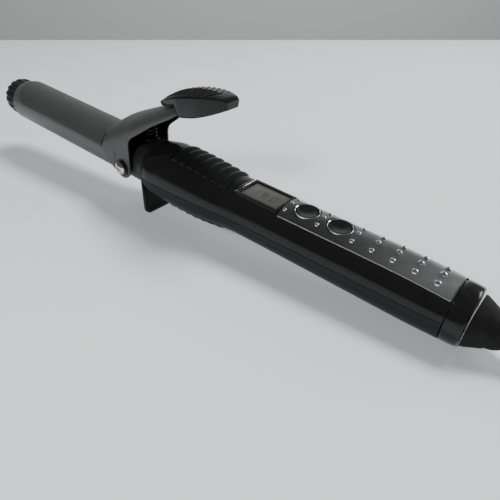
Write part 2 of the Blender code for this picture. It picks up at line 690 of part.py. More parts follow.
def skin_patch(x_stations, half, inset, outset, upper=True, steps=6):
    """A piece that follows the handle's surface. inset and outset are its depth below and its
    height above that surface; outset may be a function of x."""
    sign = 1 if upper else -1
    height = top_at if upper else bottom_at
    rings = []
    for x in x_stations:
        out = outset(x) if callable(outset) else outset
        ys = [half * (1 - 2 * i / steps) for i in range(steps + 1)]
        outer = [(x, y, height(x, y) + sign * out) for y in ys]
        inner = [(x, y, height(x, y) - sign * inset) for y in reversed(ys)]
        rings.append(outer + inner)
    return loft(rings)


def between(x0, x1, stations=SHELL_STATIONS):
    return [x0] + [x for x in stations if x0 < x < x1] + [x1]


def rib_stations():
    """Three stations for each rib, and the height of the rib at each."""
    heights = {}
    for k in range(RIB_COUNT):
        middle = RIB_X0 + k * RIB_PITCH
        for offset, share in ((-0.5, 0.0), (-0.2, 0.9), (0.2, 0.9)):
            heights[middle + offset * RIB_PITCH] = RIB_HEIGHT * share
    heights[RIB_X0 + (RIB_COUNT - 0.5) * RIB_PITCH] = 0.0
    return heights


def build_shell_screw(tool, upper, lower, x, name):
    """A screw from below, through a post of the lower shell into a blind post of the upper one."""
    place = (x, 0.0)
    seam = split(x)
    hole = SCREW_R + HOLE_GAP
    head_hole = SCREW_HEAD_R + GAP
    head = seam - 5.0
    deep = seam + 8.0
    post = ((seam + 0.2, hole), (seam + 0.2, BOSS_R), (top(x) - WALL * 0.8, BOSS_R),
            (top(x) - WALL * 0.8, 0.0),
            (deep, 0.0), (deep, hole))
    join_on(upper, f"upper_post_{name}", turned(post, 16, place, "Z"), tool)
    cut(lower, f"lower_hole_{name}", turned(rod(bottom(x) - 3, bottom(x) + WALL + 1, head_hole + 0.5), 20,
                                            place,
                                            "Z"), tool)
    under = bottom(x) + WALL * 0.8
    post = ((under, head_hole), (under, head_hole + 1.2), (seam - GAP - 0.2, head_hole + 1.2),
            (seam - GAP - 0.2, hole),
            (head, hole), (head, head_hole))
    join_on(lower, f"lower_post_{name}", turned(post, 16, place, "Z"), tool)
    screw = ((head - GAP - 1.5, 0.0), (head - GAP - 1.5, SCREW_HEAD_R - 0.4), (head - GAP, SCREW_HEAD_R),
             (head - GAP, SCREW_R), (seam + 7.0, SCREW_R), (seam + 7.0, 0.0))
    add_mesh(f"handle_screw_{name}", *turned(screw, 12, place, "Z"), "zinc_steel", tool)


def build_shells(tool):
    upper = add_mesh("handle_upper_shell", *loft([shell_ring(x, True) for x in SHELL_STATIONS]),
                     "gloss_black",
                     tool)
    lower = add_mesh("handle_lower_shell", *loft([shell_ring(x, False) for x in SHELL_STATIONS]),
                     "satin_black",
                     tool)
    for x, name in zip(SCREW_XS, ("front", "rear")):
        build_shell_screw(tool, upper, lower, x, name)
    cut(upper, "panel_pocket", skin_patch(between(PANEL_X0 - GAP, CAP_X0 + 2), PANEL_HALF + GAP,
                                          PANEL_T + GAP, 3.0),
        tool)
    cut(upper, "display_opening", block(LCD_X0 - GAP, LCD_X1 + GAP, -LCD_HALF - GAP, LCD_HALF + GAP, 4.0,
                                        20.0), tool)
    for x, name in zip(BUTTON_XS, ("front", "rear")):
        cut(upper, f"button_opening_{name}", turned(rod(6.0, 20.0, BUTTON_TRIM_R + GAP), 20, (x, 0.0), "Z"),
            tool)
    rib_x1 = RIB_X0 + (RIB_COUNT - 0.5) * RIB_PITCH
    rib_x0 = RIB_X0 - 0.5 * RIB_PITCH
    pocket = between(rib_x0 - GAP, rib_x1 + GAP)
    cut(upper, "upper_grip_pocket", skin_patch(pocket, GRIP_HALF_UPPER + GAP, GRIP_DEPTH + GAP, 4.0), tool)
    cut(lower, "lower_grip_pocket", skin_patch(pocket, GRIP_HALF_LOWER + GAP, GRIP_DEPTH + GAP, 4.0, False),
        tool)

    heights = rib_stations()
    add_mesh("grip_insert_upper", *skin_patch(sorted(heights), GRIP_HALF_UPPER, GRIP_DEPTH, heights.get),
             "satin_black", tool)
    add_mesh("grip_insert_lower", *skin_patch(sorted(heights), GRIP_HALF_LOWER, GRIP_DEPTH,
                                              lambda x: 0.6 * heights[x], False), "rubber_black", tool)


def collar_outline(x):
    """Outline of the collar and stand plate at x."""
    half = half_width(x)
    seam = split(x)
    crown = top(x)
    foot = surface_z(x)
    arc = [(half * math.cos(math.pi * i / 20), seam + (crown - seam) * math.sin(math.pi * i / 20))
           for i in range(21)]
    sides = []
    for turn in range(5):
        angle = math.pi + math.pi / 2 * turn / 4
        sides.append((-FOOT_HALF + FOOT_CORNER + FOOT_CORNER * math.cos(angle),
                      foot + FOOT_CORNER + FOOT_CORNER * math.sin(angle)))
    shoulder = (-half, seam - 5.0)
    left = [shoulder] + sides
    return arc + left + [(-y, z) for y, z in reversed(left)]


def build_collar(tool):
    xs = (COLLAR_X0, COLLAR_X0 + 1.4, COLLAR_X0 + COLLAR_T)
    collar = add_mesh("front_collar_stand", *loft([[(x, y, z) for y, z in collar_outline(x)] for x in xs]),
                      "satin_black", tool)
    cut(collar, "collar_bore", turned(rod(COLLAR_X0 - 2, COLLAR_X0 + 5, BARREL_R + GAP), LARGE), tool)
    x0 = COLLAR_X0 + COLLAR_T - 1.1
    recess = loft([[(x, -11.4, -15.9), (x, 11.4, -15.9), (x, 11.4, FOOT_Z + 4.4), (x, 9.2, FOOT_Z + 2.2),
                    (x, -9.2, FOOT_Z + 2.2), (x, -11.4, FOOT_Z + 4.4)] for x in (x0, x0 + 4)])
    cut(collar, "stand_recess", recess, tool)


def build_display(tool):
    inner = LCD_BORDER
    bezel = add_mesh("display_bezel", *rounded_block(LCD_X0, LCD_X1, -LCD_HALF, LCD_HALF, LCD_TOP - 2.6,
                                                     LCD_TOP, 0.8),
                     "gloss_black", tool)
    cut(bezel, "bezel_opening", rounded_block(LCD_X0 + inner, LCD_X1 - inner, -LCD_HALF + inner,
                                              LCD_HALF - inner,
                                              LCD_TOP - 5, LCD_TOP + 3, 0.6), tool)
    seat = inner + GAP
    add_mesh("display_window", *rounded_block(LCD_X0 + seat, LCD_X1 - seat, -LCD_HALF + seat, LCD_HALF - seat,
                                              LCD_TOP - 1.6, LCD_TOP - 0.5, 0.5), "display_glass", tool)
    add_mesh("display_module", *block(LCD_X0 + 1, LCD_X1 - 1, -LCD_HALF + 0.6, LCD_HALF - 0.6,
                                      BOARD_Z + BOARD_T + GAP, LCD_TOP - 2.6 - GAP), "display_body", tool)


def build_panel(tool):
    panel = add_mesh("control_panel", *skin_patch(between(PANEL_X0, PANEL_X1), PANEL_HALF, PANEL_T, 0.0,
                                                  steps=12),
                     "brushed_steel", tool)
    for x, name in zip(BUTTON_XS, ("front", "rear")):
        place = (x, 0.0)
        cut(panel, f"panel_hole_{name}", turned(rod(6.0, 20.0, BUTTON_TRIM_R + GAP), 20, place, "Z"), tool)
        ring = ((BUTTON_TOP - 3.0, BUTTON_R + BUTTON_GAP), (BUTTON_TOP - 3.0, BUTTON_TRIM_R),
                (BUTTON_TOP + 0.1, BUTTON_TRIM_R), (BUTTON_TOP + 0.5, BUTTON_R + 0.7),
                (BUTTON_TOP + 0.1, BUTTON_R + BUTTON_GAP))
        add_mesh(f"button_trim_{name}", *turned(ring, 24, place, "Z"), "chrome", tool)
        stem = BOARD_Z + BOARD_T + GAP + 3.4 + 0.7
        cap = ((stem, 0.0), (stem, 1.5), (BUTTON_TOP - 3.6, 1.5), (BUTTON_TOP - 3.6, BUTTON_R),
               (BUTTON_TOP - 0.2, BUTTON_R), (BUTTON_TOP, BUTTON_R - 0.5), (BUTTON_TOP - 0.9, 0.0))
        add_mesh(f"button_{name}", *turned(cap, 24, place, "Z"), "gloss_black", tool,
                 (x, 0.0, BUTTON_TOP - 3.6))
        base = BOARD_Z + BOARD_T + GAP
        add_mesh(f"button_switch_{name}", *block(x - 3, x + 3, -3, 3, base, base + 3.4), "part_black", tool)


def build_electronics(tool):
    add_mesh("circuit_board", *block(BOARD_X0, BOARD_X1, -BOARD_HALF, BOARD_HALF, BOARD_Z, BOARD_Z + BOARD_T),
             "board_green", tool)
    base = BOARD_Z + BOARD_T + GAP
    add_mesh("triac", *block(252.0, 256.4, -5.0, 5.0, base, base + 5.6), "part_black", tool)
    add_mesh("mains_capacitor", *rounded_block(208.0, 221.0, -4.0, 4.0, BOARD_Z - GAP - 8.5, BOARD_Z - GAP,
                                               0.8),
             "capacitor_yellow", tool)


# ---- rear end, swivel and cord ------------------------------------------------------------
def cap_ring(x, shrink=0.0, steps=32):
    half = half_width(x) - shrink
    seam = split(x)
    ring = []
    for i in range(steps):
        angle = 2 * math.pi * i / steps
        reach = (top(x) - seam if math.sin(angle) > 0 else seam - bottom(x)) - shrink
        ring.append((x, half * math.cos(angle), seam + reach * math.sin(angle)))
    return ring


def build_rear(tool):
    stations = ((CAP_X0, 0.0), (CAP_X0 + 4.5, 0.0), (CAP_X1 - 0.9, 0.2), (CAP_X1, 1.0))
    cap = add_mesh("rear_end_cap", *loft([cap_ring(x, s) for x, s in stations]), "gloss_black", tool)
    hollow = [cap_ring(x, WALL) for x in (CAP_X0 - 2, CAP_X1 - 2.8)]
    cut(cap, "cap_hollow", loft(hollow), tool)
    axis = (0.0, SWIVEL_Z)
    centre = (CAP_X1, 0.0, SWIVEL_Z)
    cut(cap, "cap_bore", turned(rod(CAP_X0 - 3, CAP_X1 + 3, SPINDLE_R + GAP), 24, axis), tool)

    wall_in = CAP_X1 - 2.8
    flange = ((284.6, 0.0), (284.6, 3.3), (wall_in - 2.6, 3.3), (wall_in - 2.6, 8.6), (wall_in - GAP, 8.6),
              (wall_in - GAP, SPINDLE_R), (BOOT_X0 - GAP, SPINDLE_R), (BOOT_X0 - GAP, 0.0))
    add_mesh("swivel_spindle", *turned(flange, 24, axis), "nylon", tool, centre)
    for name, x in (("live", 286.0), ("neutral", 290.0)):
        add_mesh(f"slip_ring_{name}", *turned(tube(x, x + 2.0, 3.3 + GAP, 4.8), 24, axis), "brass", tool,
                 centre)
        add_mesh(f"brush_{name}", *block(x + 0.4, x + 1.6, -1.5, 1.5, SWIVEL_Z + 4.8 + GAP, SWIVEL_Z + 9.6),
                 "brass", tool)

    profile = [(BOOT_X0, 0.0)] + list(BOOT_PROFILE) + [(BOOT_X1, 0.0)]
    add_mesh("cord_strain_relief", *turned(profile, 28, axis), "rubber_black", tool, centre)


# Route of the cord on the surface, in millimetres from the end of the strain relief, with z
# above the surface that the tool stands on. It ends at the outside of the hank.
CORD_ROUTE = ((18.0, 2.2, 6.6), (28.2, 6.4, 4.9))


def build_cord(world, tool_matrix):
    start = tool_matrix @ (Vector((BOOT_X1 + GAP, 0.0, SWIVEL_Z)) * MM) / MM
    lead = tool_matrix @ (Vector((BOOT_X1 + 8.0, 0.0, SWIVEL_Z)) * MM) / MM
    base = Vector((start.x, start.y, 0.0))
    points = [start, lead] + [base + Vector(p) for p in CORD_ROUTE]
    make_cord("power_cord", smooth_route(points, 3), CORD_R, "cord_black", world, 3)
    fold_x = base.x + HANK_X
    build_hank(world, fold_x)
    build_plug(world, fold_x)


def build_hank(world, fold_x):
    """The stored runs as one solid: a ring pulled apart along X, so that its ends are round."""
    outer = HANK_FOLD_R + CORD_R
    inner = outer - HANK_COLUMNS * 2 * CORD_R
    low, high, edge = CORD_FLOOR, CORD_FLOOR + HANK_LAYERS * 2 * CORD_R, HANK_EDGE
    ring = ((low, inner + edge), (low, outer - edge), (low + edge, outer), (high - edge, outer),
            (high, outer - edge), (high, inner + edge), (high - edge, inner), (low + edge, inner))
    middle = fold_x + HANK_RUN / 2
    verts, faces = turned(ring, 48, (middle, HANK_Y), "Z")
    pulled = [(x + math.copysign(HANK_RUN / 2, x - middle), y, z) for x, y, z in verts]
    add_mesh("cord_hank", pulled, faces, "cord_black", world)


def build_plug(world, fold_x):
    """The tail that leaves the hank's inner run and the plug that lies in the hank's middle."""
    column = HANK_FOLD_R - (HANK_COLUMNS - 1) * 2 * CORD_R
    floor = CORD_FLOOR + CORD_R
    plug_y = HANK_Y
    plug_z = CORD_FLOOR + PLUG_THICK / 2
    points = []
    for i in range(5):
        along = TAIL_START + (TAIL_RUN - TAIL_START) * i / 4
        share = (along / TAIL_RUN) ** 2 * (3 - 2 * along / TAIL_RUN)
        points.append(Vector((fold_x + HANK_RUN - along, HANK_Y - column * (1 - share),
                              floor + (plug_z - floor) * share)))
    make_cord("plug_lead", smooth_route(points, 3), CORD_R, "cord_black", world, 3)

    neck = points[-1].x - 3 * GAP
    sections = ((0.0, PLUG_NECK, PLUG_NECK), (PLUG_LEN * 0.3, PLUG_NECK, PLUG_NECK),
                (PLUG_LEN * 0.55, PLUG_HALF, PLUG_THICK / 2), (PLUG_LEN, PLUG_HALF, PLUG_THICK / 2))
    rings = []
    for along, half, tall in sections:
        ring = []
        for i in range(24):
            angle = 2 * math.pi * (i + 0.5) / 24
            c, s = math.cos(angle), math.sin(angle)
            ring.append((neck - along, plug_y + half * math.copysign(abs(c) ** 0.6, c),
                         plug_z + tall * math.copysign(abs(s) ** 0.6, s)))
        rings.append(ring)
    add_mesh("plug_body", *loft(rings), "rubber_black", world)
    tip = neck - PLUG_LEN - GAP
    for side, name in ((1, "left"), (-1, "right")):
        y = plug_y + side * BLADE_PITCH / 2
        add_mesh(f"plug_blade_{name}", *block(tip - BLADE_LEN, tip, y - BLADE_T / 2, y + BLADE_T / 2,
                                              plug_z - BLADE_WIDE / 2, plug_z + BLADE_WIDE / 2), "brass",
                                              world)


def main():
    clear_scene()
    world = bpy.data.objects.new("standing_frame", None)
    tool = bpy.data.objects.new("tool_frame", None)
    for empty in (world, tool):
        bpy.context.scene.collection.objects.link(empty)
    tool.rotation_euler = (0.0, TILT, 0.0)
    x0 = -TIP_CYL - TIP_DOME
    corner = Matrix.Rotation(TILT, 4, "Y")
    foot = corner @ Vector((COLLAR_X0, 0.0, FOOT_Z))
    left = (corner @ Vector((x0, 0.0, 0.0))).x
    right = (corner @ Vector((BOOT_X1, 0.0, SWIVEL_Z + BOOT_PROFILE[-1][1]))).x
    tool.location = Vector((-(left + right) / 2, 0.0, -foot.z)) * MM
    bpy.context.view_layer.update()

    build_barrel(tool)
    build_leads(tool)
    build_clip(tool)
    build_thumb_pad(tool)
    build_pivot(tool)
    build_spring(tool)
    build_shells(tool)
    build_collar(tool)
    build_display(tool)
    build_panel(tool)
    build_electronics(tool)
    build_rear(tool)
    build_cord(world, tool.matrix_world)


main()
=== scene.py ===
"""The looks of a curling iron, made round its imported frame: fine meshes for what shows, the cord
at its real length, and a procedural finish for every piece.

Shapes are drawn in the tool's own frame, in millimetres: X runs from the barrel's tip ring to
the cord, Y to the left of that and Z up from the barrel's axis. TOOL takes them to the frame's
metres, where the iron rests on its stand plate.
"""
import json
import math

import bmesh
import bpy
from mathutils import Matrix, Vector


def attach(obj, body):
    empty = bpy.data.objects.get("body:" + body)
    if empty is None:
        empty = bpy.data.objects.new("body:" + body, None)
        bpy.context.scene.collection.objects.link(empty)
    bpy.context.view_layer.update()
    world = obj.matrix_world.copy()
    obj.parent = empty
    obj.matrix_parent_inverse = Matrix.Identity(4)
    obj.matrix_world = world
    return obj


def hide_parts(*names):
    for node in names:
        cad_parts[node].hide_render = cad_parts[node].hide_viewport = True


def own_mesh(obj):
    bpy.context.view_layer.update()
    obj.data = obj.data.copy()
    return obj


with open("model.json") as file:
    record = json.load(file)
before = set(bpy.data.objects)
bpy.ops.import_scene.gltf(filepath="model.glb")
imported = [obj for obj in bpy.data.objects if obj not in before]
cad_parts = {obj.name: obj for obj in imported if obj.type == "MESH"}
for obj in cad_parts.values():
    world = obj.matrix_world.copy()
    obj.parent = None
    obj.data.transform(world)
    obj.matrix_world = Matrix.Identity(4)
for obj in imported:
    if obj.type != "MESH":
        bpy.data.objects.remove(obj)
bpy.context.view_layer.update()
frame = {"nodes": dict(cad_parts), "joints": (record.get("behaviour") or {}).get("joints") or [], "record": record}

MM = 0.001
JOINTS = {joint["name"]: joint for joint in frame["joints"]}

# ---- where the tool lies in the frame -----------------------------------------------------
PIVOT = Vector((112.6, 0.0, -1.7))
SWIVEL_AXIS = Vector(JOINTS["cord_swivel"]["axis"]).normalized()
TILT = math.atan2(-SWIVEL_AXIS.z, SWIVEL_AXIS.x)
TURN = Matrix.Rotation(TILT, 4, "Y")
TOOL_PLACE = Vector(JOINTS["clip_hinge"]["pos_m"]) - TURN @ (PIVOT * MM)
TOOL = Matrix.Translation(TOOL_PLACE) @ TURN @ Matrix.Scale(MM, 4)
WORLD = Matrix.Scale(MM, 4)

# ---- sizes that several pieces share, in millimetres --------------------------------------
BARREL_R = 12.5
SPOON_R = 13.75
SHEET = 0.9
GAP = 0.3
WALL = 2.0
SWIVEL_Z = 1.4
CORD_R = 3.1
SHELL_X0, SHELL_X1 = 130.0, 292.9
CAP_X0, CAP_X1 = 293.2, 300.3
BARREL_SHADE_X = 115.0                       # painted shade under the lever darkens the barrel behind this
# millimetres over which that painted shade fades in
SHADE_BLEND = 3.0
COLLAR_X0, COLLAR_X1 = 127.0, 129.7
FOOT_Z = -25.3
DISPLAY_X0, DISPLAY_X1, DISPLAY_HALF, DISPLAY_TOP = 187.2, 211.9, 8.6, 12.9
PANEL_X0, PANEL_X1, PANEL_HALF, PANEL_T = 212.6, 292.3, 9.3, 0.7
BUTTON_XS = {"front": 222.6, "rear": 239.5}
BUTTON_TOP = 14.2
TRIM_R, TRIM_BORE, CAP_R, STEM_R, STEM_Z = 6.0, 5.3, 5.0, 1.5, 10.2
GRIP_X0, GRIP_X1 = 145.55, 182.65
GRIP_HALF_TOP, GRIP_HALF_UNDER, GRIP_DEPTH = 9.4, 11.2, 0.9
RIB_X0, RIB_PITCH, RIB_HEIGHT = 148.2, 5.3, 1.0


# ---- camera, light and table --------------------------------------------------------------
CAMERA_PLACE = (0.15300, -0.15936, 0.13800)
CAMERA_TURN = (55.171, -0.646, 38.805)     # degrees
LENS = 34.35
TABLE_EDGE = 0.717                          # from the camera to the table's far edge
TABLE_TURN = 3.3                            # degrees that the table is turned from the view


def make_camera():
    """The camera, as it was fitted to the iron's outline."""
    data = bpy.data.cameras.new("camera")
    data.sensor_width = 36.0
    data.lens = LENS
    data.clip_start = 0.01
    camera = bpy.data.objects.new("camera", data)
    camera.location = CAMERA_PLACE
    camera.rotation_euler = [math.radians(angle) for angle in CAMERA_TURN]
    bpy.context.scene.collection.objects.link(camera)
    bpy.context.scene.camera = camera


def add_light(name, place, target, size, watts, size_y=None, mirrored=True):
    """A rectangular lamp that looks at target; mirrored says if glossy pieces show it."""
    data = bpy.data.lights.new(name, "AREA")
    data.shape = "RECTANGLE"
    data.size = size
    data.size_y = size_y or size
    data.energy = watts
    lamp = bpy.data.objects.new(name, data)
    lamp.location = place
    aim = Vector(target) - Vector(place)
    lamp.rotation_euler = aim.to_track_quat("-Z", "Y").to_euler()
    lamp.visible_glossy = mirrored
    bpy.context.scene.collection.objects.link(lamp)


# ---- sums on sockets ----------------------------------------------------------------------
class Value:
    """A number or colour on its way through a material's nodes."""

    def __init__(self, paint, socket):
        self.paint = paint
        self.socket = socket

    def sum(self, operation, first, second=0.0):
        """One Math node on numbers or Values."""
        return self.paint.node("ShaderNodeMath", {"operation": operation}, {0: first, 1: second})

    def __add__(self, other):
        return self.sum("ADD", self, other)

    def __sub__(self, other):
        return self.sum("SUBTRACT", self, other)

    def __rsub__(self, other):
        return self.sum("SUBTRACT", other, self)

    def __mul__(self, other):
        return self.sum("MULTIPLY", self, other)

    __radd__ = __add__
    __rmul__ = __mul__

    def over(self, limit):
        """1 where this is more than limit, and 0 elsewhere."""
        return self.sum("GREATER_THAN", self, limit)

    def under(self, limit):
        """1 where this is less than limit, and 0 elsewhere."""
        return self.sum("LESS_THAN", self, limit)

    def size(self):
        """Without its sign."""
        return self.sum("ABSOLUTE", self)

    def ramp(self, low, high, to_low=0.0, to_high=1.0):
        """low..high stretched to to_low..to_high, and held there outside."""
        return self.paint.node("ShaderNodeMapRange", {"interpolation_type": "SMOOTHSTEP"},
                               {0: self, 1: low, 2: high, 3: to_low, 4: to_high})


class Paint:
    """A material that is being made. space holds the tool's own coordinates, in millimetres."""

    def __init__(self, name, place=TOOL_PLACE, tilt=TILT):
        self.material = bpy.data.materials.new(name)
        self.material.use_nodes = True
        self.tree = self.material.node_tree
        self.shader = self.tree.nodes["Principled BSDF"]
        where = self.node("ShaderNodeTexCoord", output="Object")
        self.space = self.node("ShaderNodeMapping", {"vector_type": "TEXTURE"},
                               {"Vector": where, "Location": place, "Rotation": (0.0, tilt, 0.0),
                                "Scale": (MM, MM, MM)})

    def node(self, kind, settings=None, inputs=None, output=0):
        """Any node: its settings, then its sockets' values or links; gives one of its outputs."""
        made = self.tree.nodes.new(kind)
        for key, value in (settings or {}).items():
            setattr(made, key, value)
        for key, value in (inputs or {}).items():
            if isinstance(value, Value):
                self.tree.links.new(value.socket, made.inputs[key])
            else:
                made.inputs[key].default_value = value
        return Value(self, made.outputs[output])

    def axes(self):
        """The three coordinates, each as a Value."""
        parts = self.node("ShaderNodeSeparateXYZ", inputs={0: self.space}).socket.node
        return [Value(self, parts.outputs[i]) for i in range(3)]

    def stretched(self, x, y, z):
        """The space with each coordinate times its own factor, for a pattern that runs one way."""
        return self.node("ShaderNodeVectorMath", {"operation": "MULTIPLY"}, {0: self.space, 1: (x, y, z)})

    def noise(self, scale, detail=2.0, rough=0.5, vector=None):
        """Soft random blotches, 0 to 1."""
        return self.node("ShaderNodeTexNoise", inputs={
            "Vector": vector or self.space, "Scale": scale, "Detail": detail, "Roughness": rough})

    def cells(self, scale):
        """The distance to the nearest of many scattered points."""
        return self.node("ShaderNodeTexVoronoi", inputs={"Vector": self.space, "Scale": scale})

    def mix(self, first, second, share):
        """Between two colours."""
        return self.node("ShaderNodeMix", {"data_type": "RGBA"}, {0: share, 6: first, 7: second}, output=2)

    def bump(self, height, depth, strength):
        """Relief of a depth in millimetres."""
        return self.node("ShaderNodeBump",
                         inputs={"Height": height, "Distance": depth * MM, "Strength": strength})

    def finish(self, **sockets):
        """Sets or links the shader's sockets, named with _ for a space, and gives the material."""
        for name, value in sockets.items():
            socket = self.shader.inputs[name.replace("_", " ").title().replace("Ior", "IOR")]
            if isinstance(value, Value):
                self.tree.links.new(value.socket, socket)
            else:
                socket.default_value = value
        return self.material


def grey(level, warm=0.0):
    """A grey, or a slightly warm one."""
    return (level * (1 + warm), level, level * (1 - warm), 1.0)


# ---- finishes -----------------------------------------------------------------------------
def heat_coating(name, level, metal, painted_shade_from=None):
    """A satin grey coating on metal: fine grain, faint rub marks along the tool, soft blotches, and, when given an
    x, painted shade that darkens it behind that x.
    """
    paint = Paint(name)
    grain = paint.noise(9.0, 3.0, 0.6)
    rubs = paint.noise(1.0, 3.0, 0.55, paint.stretched(0.05, 2.2, 2.2))
    cloud = paint.noise(0.06, 2.0, 0.5)
    tone = paint.mix(grey(level * 0.86), grey(level * 1.16), rubs.ramp(0.3, 0.7) * 0.5 + cloud * 0.5)
    speck = grain.ramp(0.62, 0.75)
    # painted shade: darker behind the given x, where the lever overhead shades the barrel
    if painted_shade_from:
        tone = paint.mix(tone, grey(level * 0.25), paint.axes()[0].ramp(painted_shade_from, painted_shade_from + SHADE_BLEND))
    return paint.finish(
        base_color=paint.mix(tone, grey(level * 1.7), speck * 0.12),
        metallic=metal,
        roughness=0.33 + cloud * 0.08 + rubs * 0.06 + grain * 0.05,
        normal=paint.bump(grain + rubs * 0.5, 0.006, 0.35))


def polished_plastic(name, level=0.0055):
    """Glossy moulded black plastic with the faint haze of handling and a few dust specks."""
    paint = Paint(name)
    haze = paint.noise(0.09, 3.0, 0.55)
    fine = paint.noise(1.3, 2.0, 0.5)
    dust = paint.cells(0.55).under(0.035) * fine.over(0.56)
    return paint.finish(
        base_color=paint.mix(paint.mix(grey(level * 0.8), grey(level * 1.3), haze), grey(0.09), dust * 0.5),
        roughness=0.13 + haze.ramp(0.35, 0.75) * 0.1 + fine * 0.03,
        coat_weight=0.06, coat_roughness=0.06, specular_ior_level=0.26,
        normal=paint.bump(haze + fine * 0.05, 0.02, 0.25))


def satin_plastic(name, level=0.017, rough=0.42, grain_scale=6.0, grain_depth=0.012):
    """Moulded plastic with a fine spark-eroded grain."""
    paint = Paint(name)
    grain = paint.noise(grain_scale, 3.0, 0.6)
    cloud = paint.noise(0.12, 2.0, 0.5)
    return paint.finish(
        base_color=paint.mix(grey(level * 0.82, -0.02), grey(level * 1.22, -0.02), cloud * 0.7 + grain * 0.3),
        roughness=rough - 0.05 + cloud * 0.08 + grain * 0.04,
        specular_ior_level=0.15,
        normal=paint.bump(grain, grain_depth, 0.5))


def soft_rubber(name, level=0.014, place=TOOL_PLACE, tilt=TILT):
    """Matte rubber: dull, slightly dusty, with a pitted grain."""
    paint = Paint(name, place, tilt)
    grain = paint.noise(4.0, 4.0, 0.65)
    dust = paint.noise(0.25, 3.0, 0.6).ramp(0.45, 0.75)
    lint = paint.cells(0.9).under(0.03)
    tone = paint.mix(grey(level * 0.8), grey(level * 1.5, 0.02), dust)
    return paint.finish(
        base_color=paint.mix(tone, grey(level * 4.0), lint * 0.35),
        roughness=0.62 + dust * 0.14 + grain * 0.08,
        specular_ior_level=0.16,
        normal=paint.bump(grain, 0.03, 0.6))


def brushed_metal(name):
    """Steel brushed along the handle: long fine scratches, a few deeper, slightly uneven in tone, with a painted
    highlight that brightens it towards the rear and the near side.
    """
    paint = Paint(name)
    hair = paint.noise(1.0, 5.0, 0.7, paint.stretched(0.12, 26.0, 26.0))
    bands = paint.noise(1.0, 2.0, 0.5, paint.stretched(0.03, 3.5, 3.5))
    deep = paint.noise(1.0, 2.0, 0.4, paint.stretched(0.3, 60.0, 60.0)).ramp(0.66, 0.74)
    along, across, _ = paint.axes()
    tone = paint.mix(grey(0.16), grey(0.42), hair.ramp(0.3, 0.7) * 0.65 + bands * 0.35)
    # painted highlight: the reflection on the steel, drawn lighter towards the rear and the near (-Y) side
    painted_highlight = along.ramp(232.0, 286.0) * across.ramp(2.0, -7.5) * 0.85 + along.ramp(262.0, 292.0) * 0.25
    return paint.finish(
        base_color=paint.mix(paint.mix(tone, grey(0.95), painted_highlight), grey(0.25), deep * 0.5),
        metallic=1.0,
        roughness=0.24 + hair.ramp(0.25, 0.75) * 0.14 + bands * 0.05,
        normal=paint.bump(hair + bands * 0.4 - deep * 0.5, 0.012, 0.55))


def bright_plating(name, colour, rough=0.07, wear=0.25):
    """Plated metal: nearly a mirror, with faint wipe marks and tiny pits."""
    paint = Paint(name)
    wipes = paint.noise(0.8, 4.0, 0.6, paint.stretched(0.4, 1.6, 1.6))
    pits = paint.cells(2.4).under(0.05)
    dull = tuple(c * 0.72 for c in colour[:3]) + (1.0,)
    return paint.finish(
        base_color=paint.mix(colour, dull, wipes.ramp(0.5, 0.8) * wear + pits * 0.3),
        metallic=1.0,
        roughness=rough + wipes.ramp(0.4, 0.8) * 0.08,
        normal=paint.bump(wipes - pits * 0.3, 0.004, 0.3))


def bare_metal(name, colour, rough=0.35, lines=8.0):
    """Turned or drawn metal inside the tool, with machining lines and tarnish."""
    paint = Paint(name)
    marks = paint.noise(1.0, 3.0, 0.6, paint.stretched(lines, 0.6, 0.6))
    tarnish = paint.noise(0.5, 4.0, 0.65).ramp(0.4, 0.75)
    dark = tuple(c * 0.6 for c in colour[:3]) + (1.0,)
    return paint.finish(
        base_color=paint.mix(colour, dark, tarnish * 0.5 + marks * 0.25),
        metallic=1.0,
        roughness=rough + marks * 0.08 + tarnish * 0.12,
        normal=paint.bump(marks, 0.008, 0.4))


def insulating_board(name, colour, rough=0.7):
    """Ceramic, mica or glass fibre: pale, mottled and crossed by fibres."""
    paint = Paint(name)
    fibres = paint.noise(1.0, 4.0, 0.7, paint.stretched(0.5, 5.0, 5.0))
    mottle = paint.noise(1.1, 4.0, 0.6)
    dark = tuple(c * 0.65 for c in colour[:3]) + (1.0,)
    return paint.finish(
        base_color=paint.mix(colour, dark, fibres.ramp(0.35, 0.75) * 0.4 + mottle * 0.4),
        roughness=rough + mottle * 0.15,
        normal=paint.bump(fibres + mottle, 0.02, 0.5))


def moulded_part(name, colour, rough=0.45):
    """A small moulded electrical part."""
    paint = Paint(name)
    flow = paint.noise(0.7, 3.0, 0.55)
    grain = paint.noise(8.0, 2.0, 0.5)
    dark = tuple(c * 0.75 for c in colour[:3]) + (1.0,)
    return paint.finish(
        base_color=paint.mix(colour, dark, flow),
        roughness=rough + flow * 0.1 + grain * 0.05,
        normal=paint.bump(grain, 0.01, 0.4))


def solder_mask(name):
    """Green board with copper tracks under its mask."""
    paint = Paint(name)
    x, y, _ = paint.axes()
    wave = paint.noise(0.25, 1.0, 0.5)
    tracks = (y + wave * 3.0).sum("PINGPONG", y + wave * 3.0, 1.3).under(0.45)
    pads = paint.cells(0.35).under(0.28)
    tone = paint.mix((0.012, 0.10, 0.035, 1.0), (0.03, 0.19, 0.07, 1.0), tracks)
    return paint.finish(
        base_color=paint.mix(tone, (0.55, 0.53, 0.50, 1.0), pads),
        metallic=pads * 0.9,
        roughness=0.38 - pads * 0.1 + (x * 0.01).sum("SINE", x * 0.01) * 0.02,
        normal=paint.bump(tracks + pads, 0.03, 0.5))


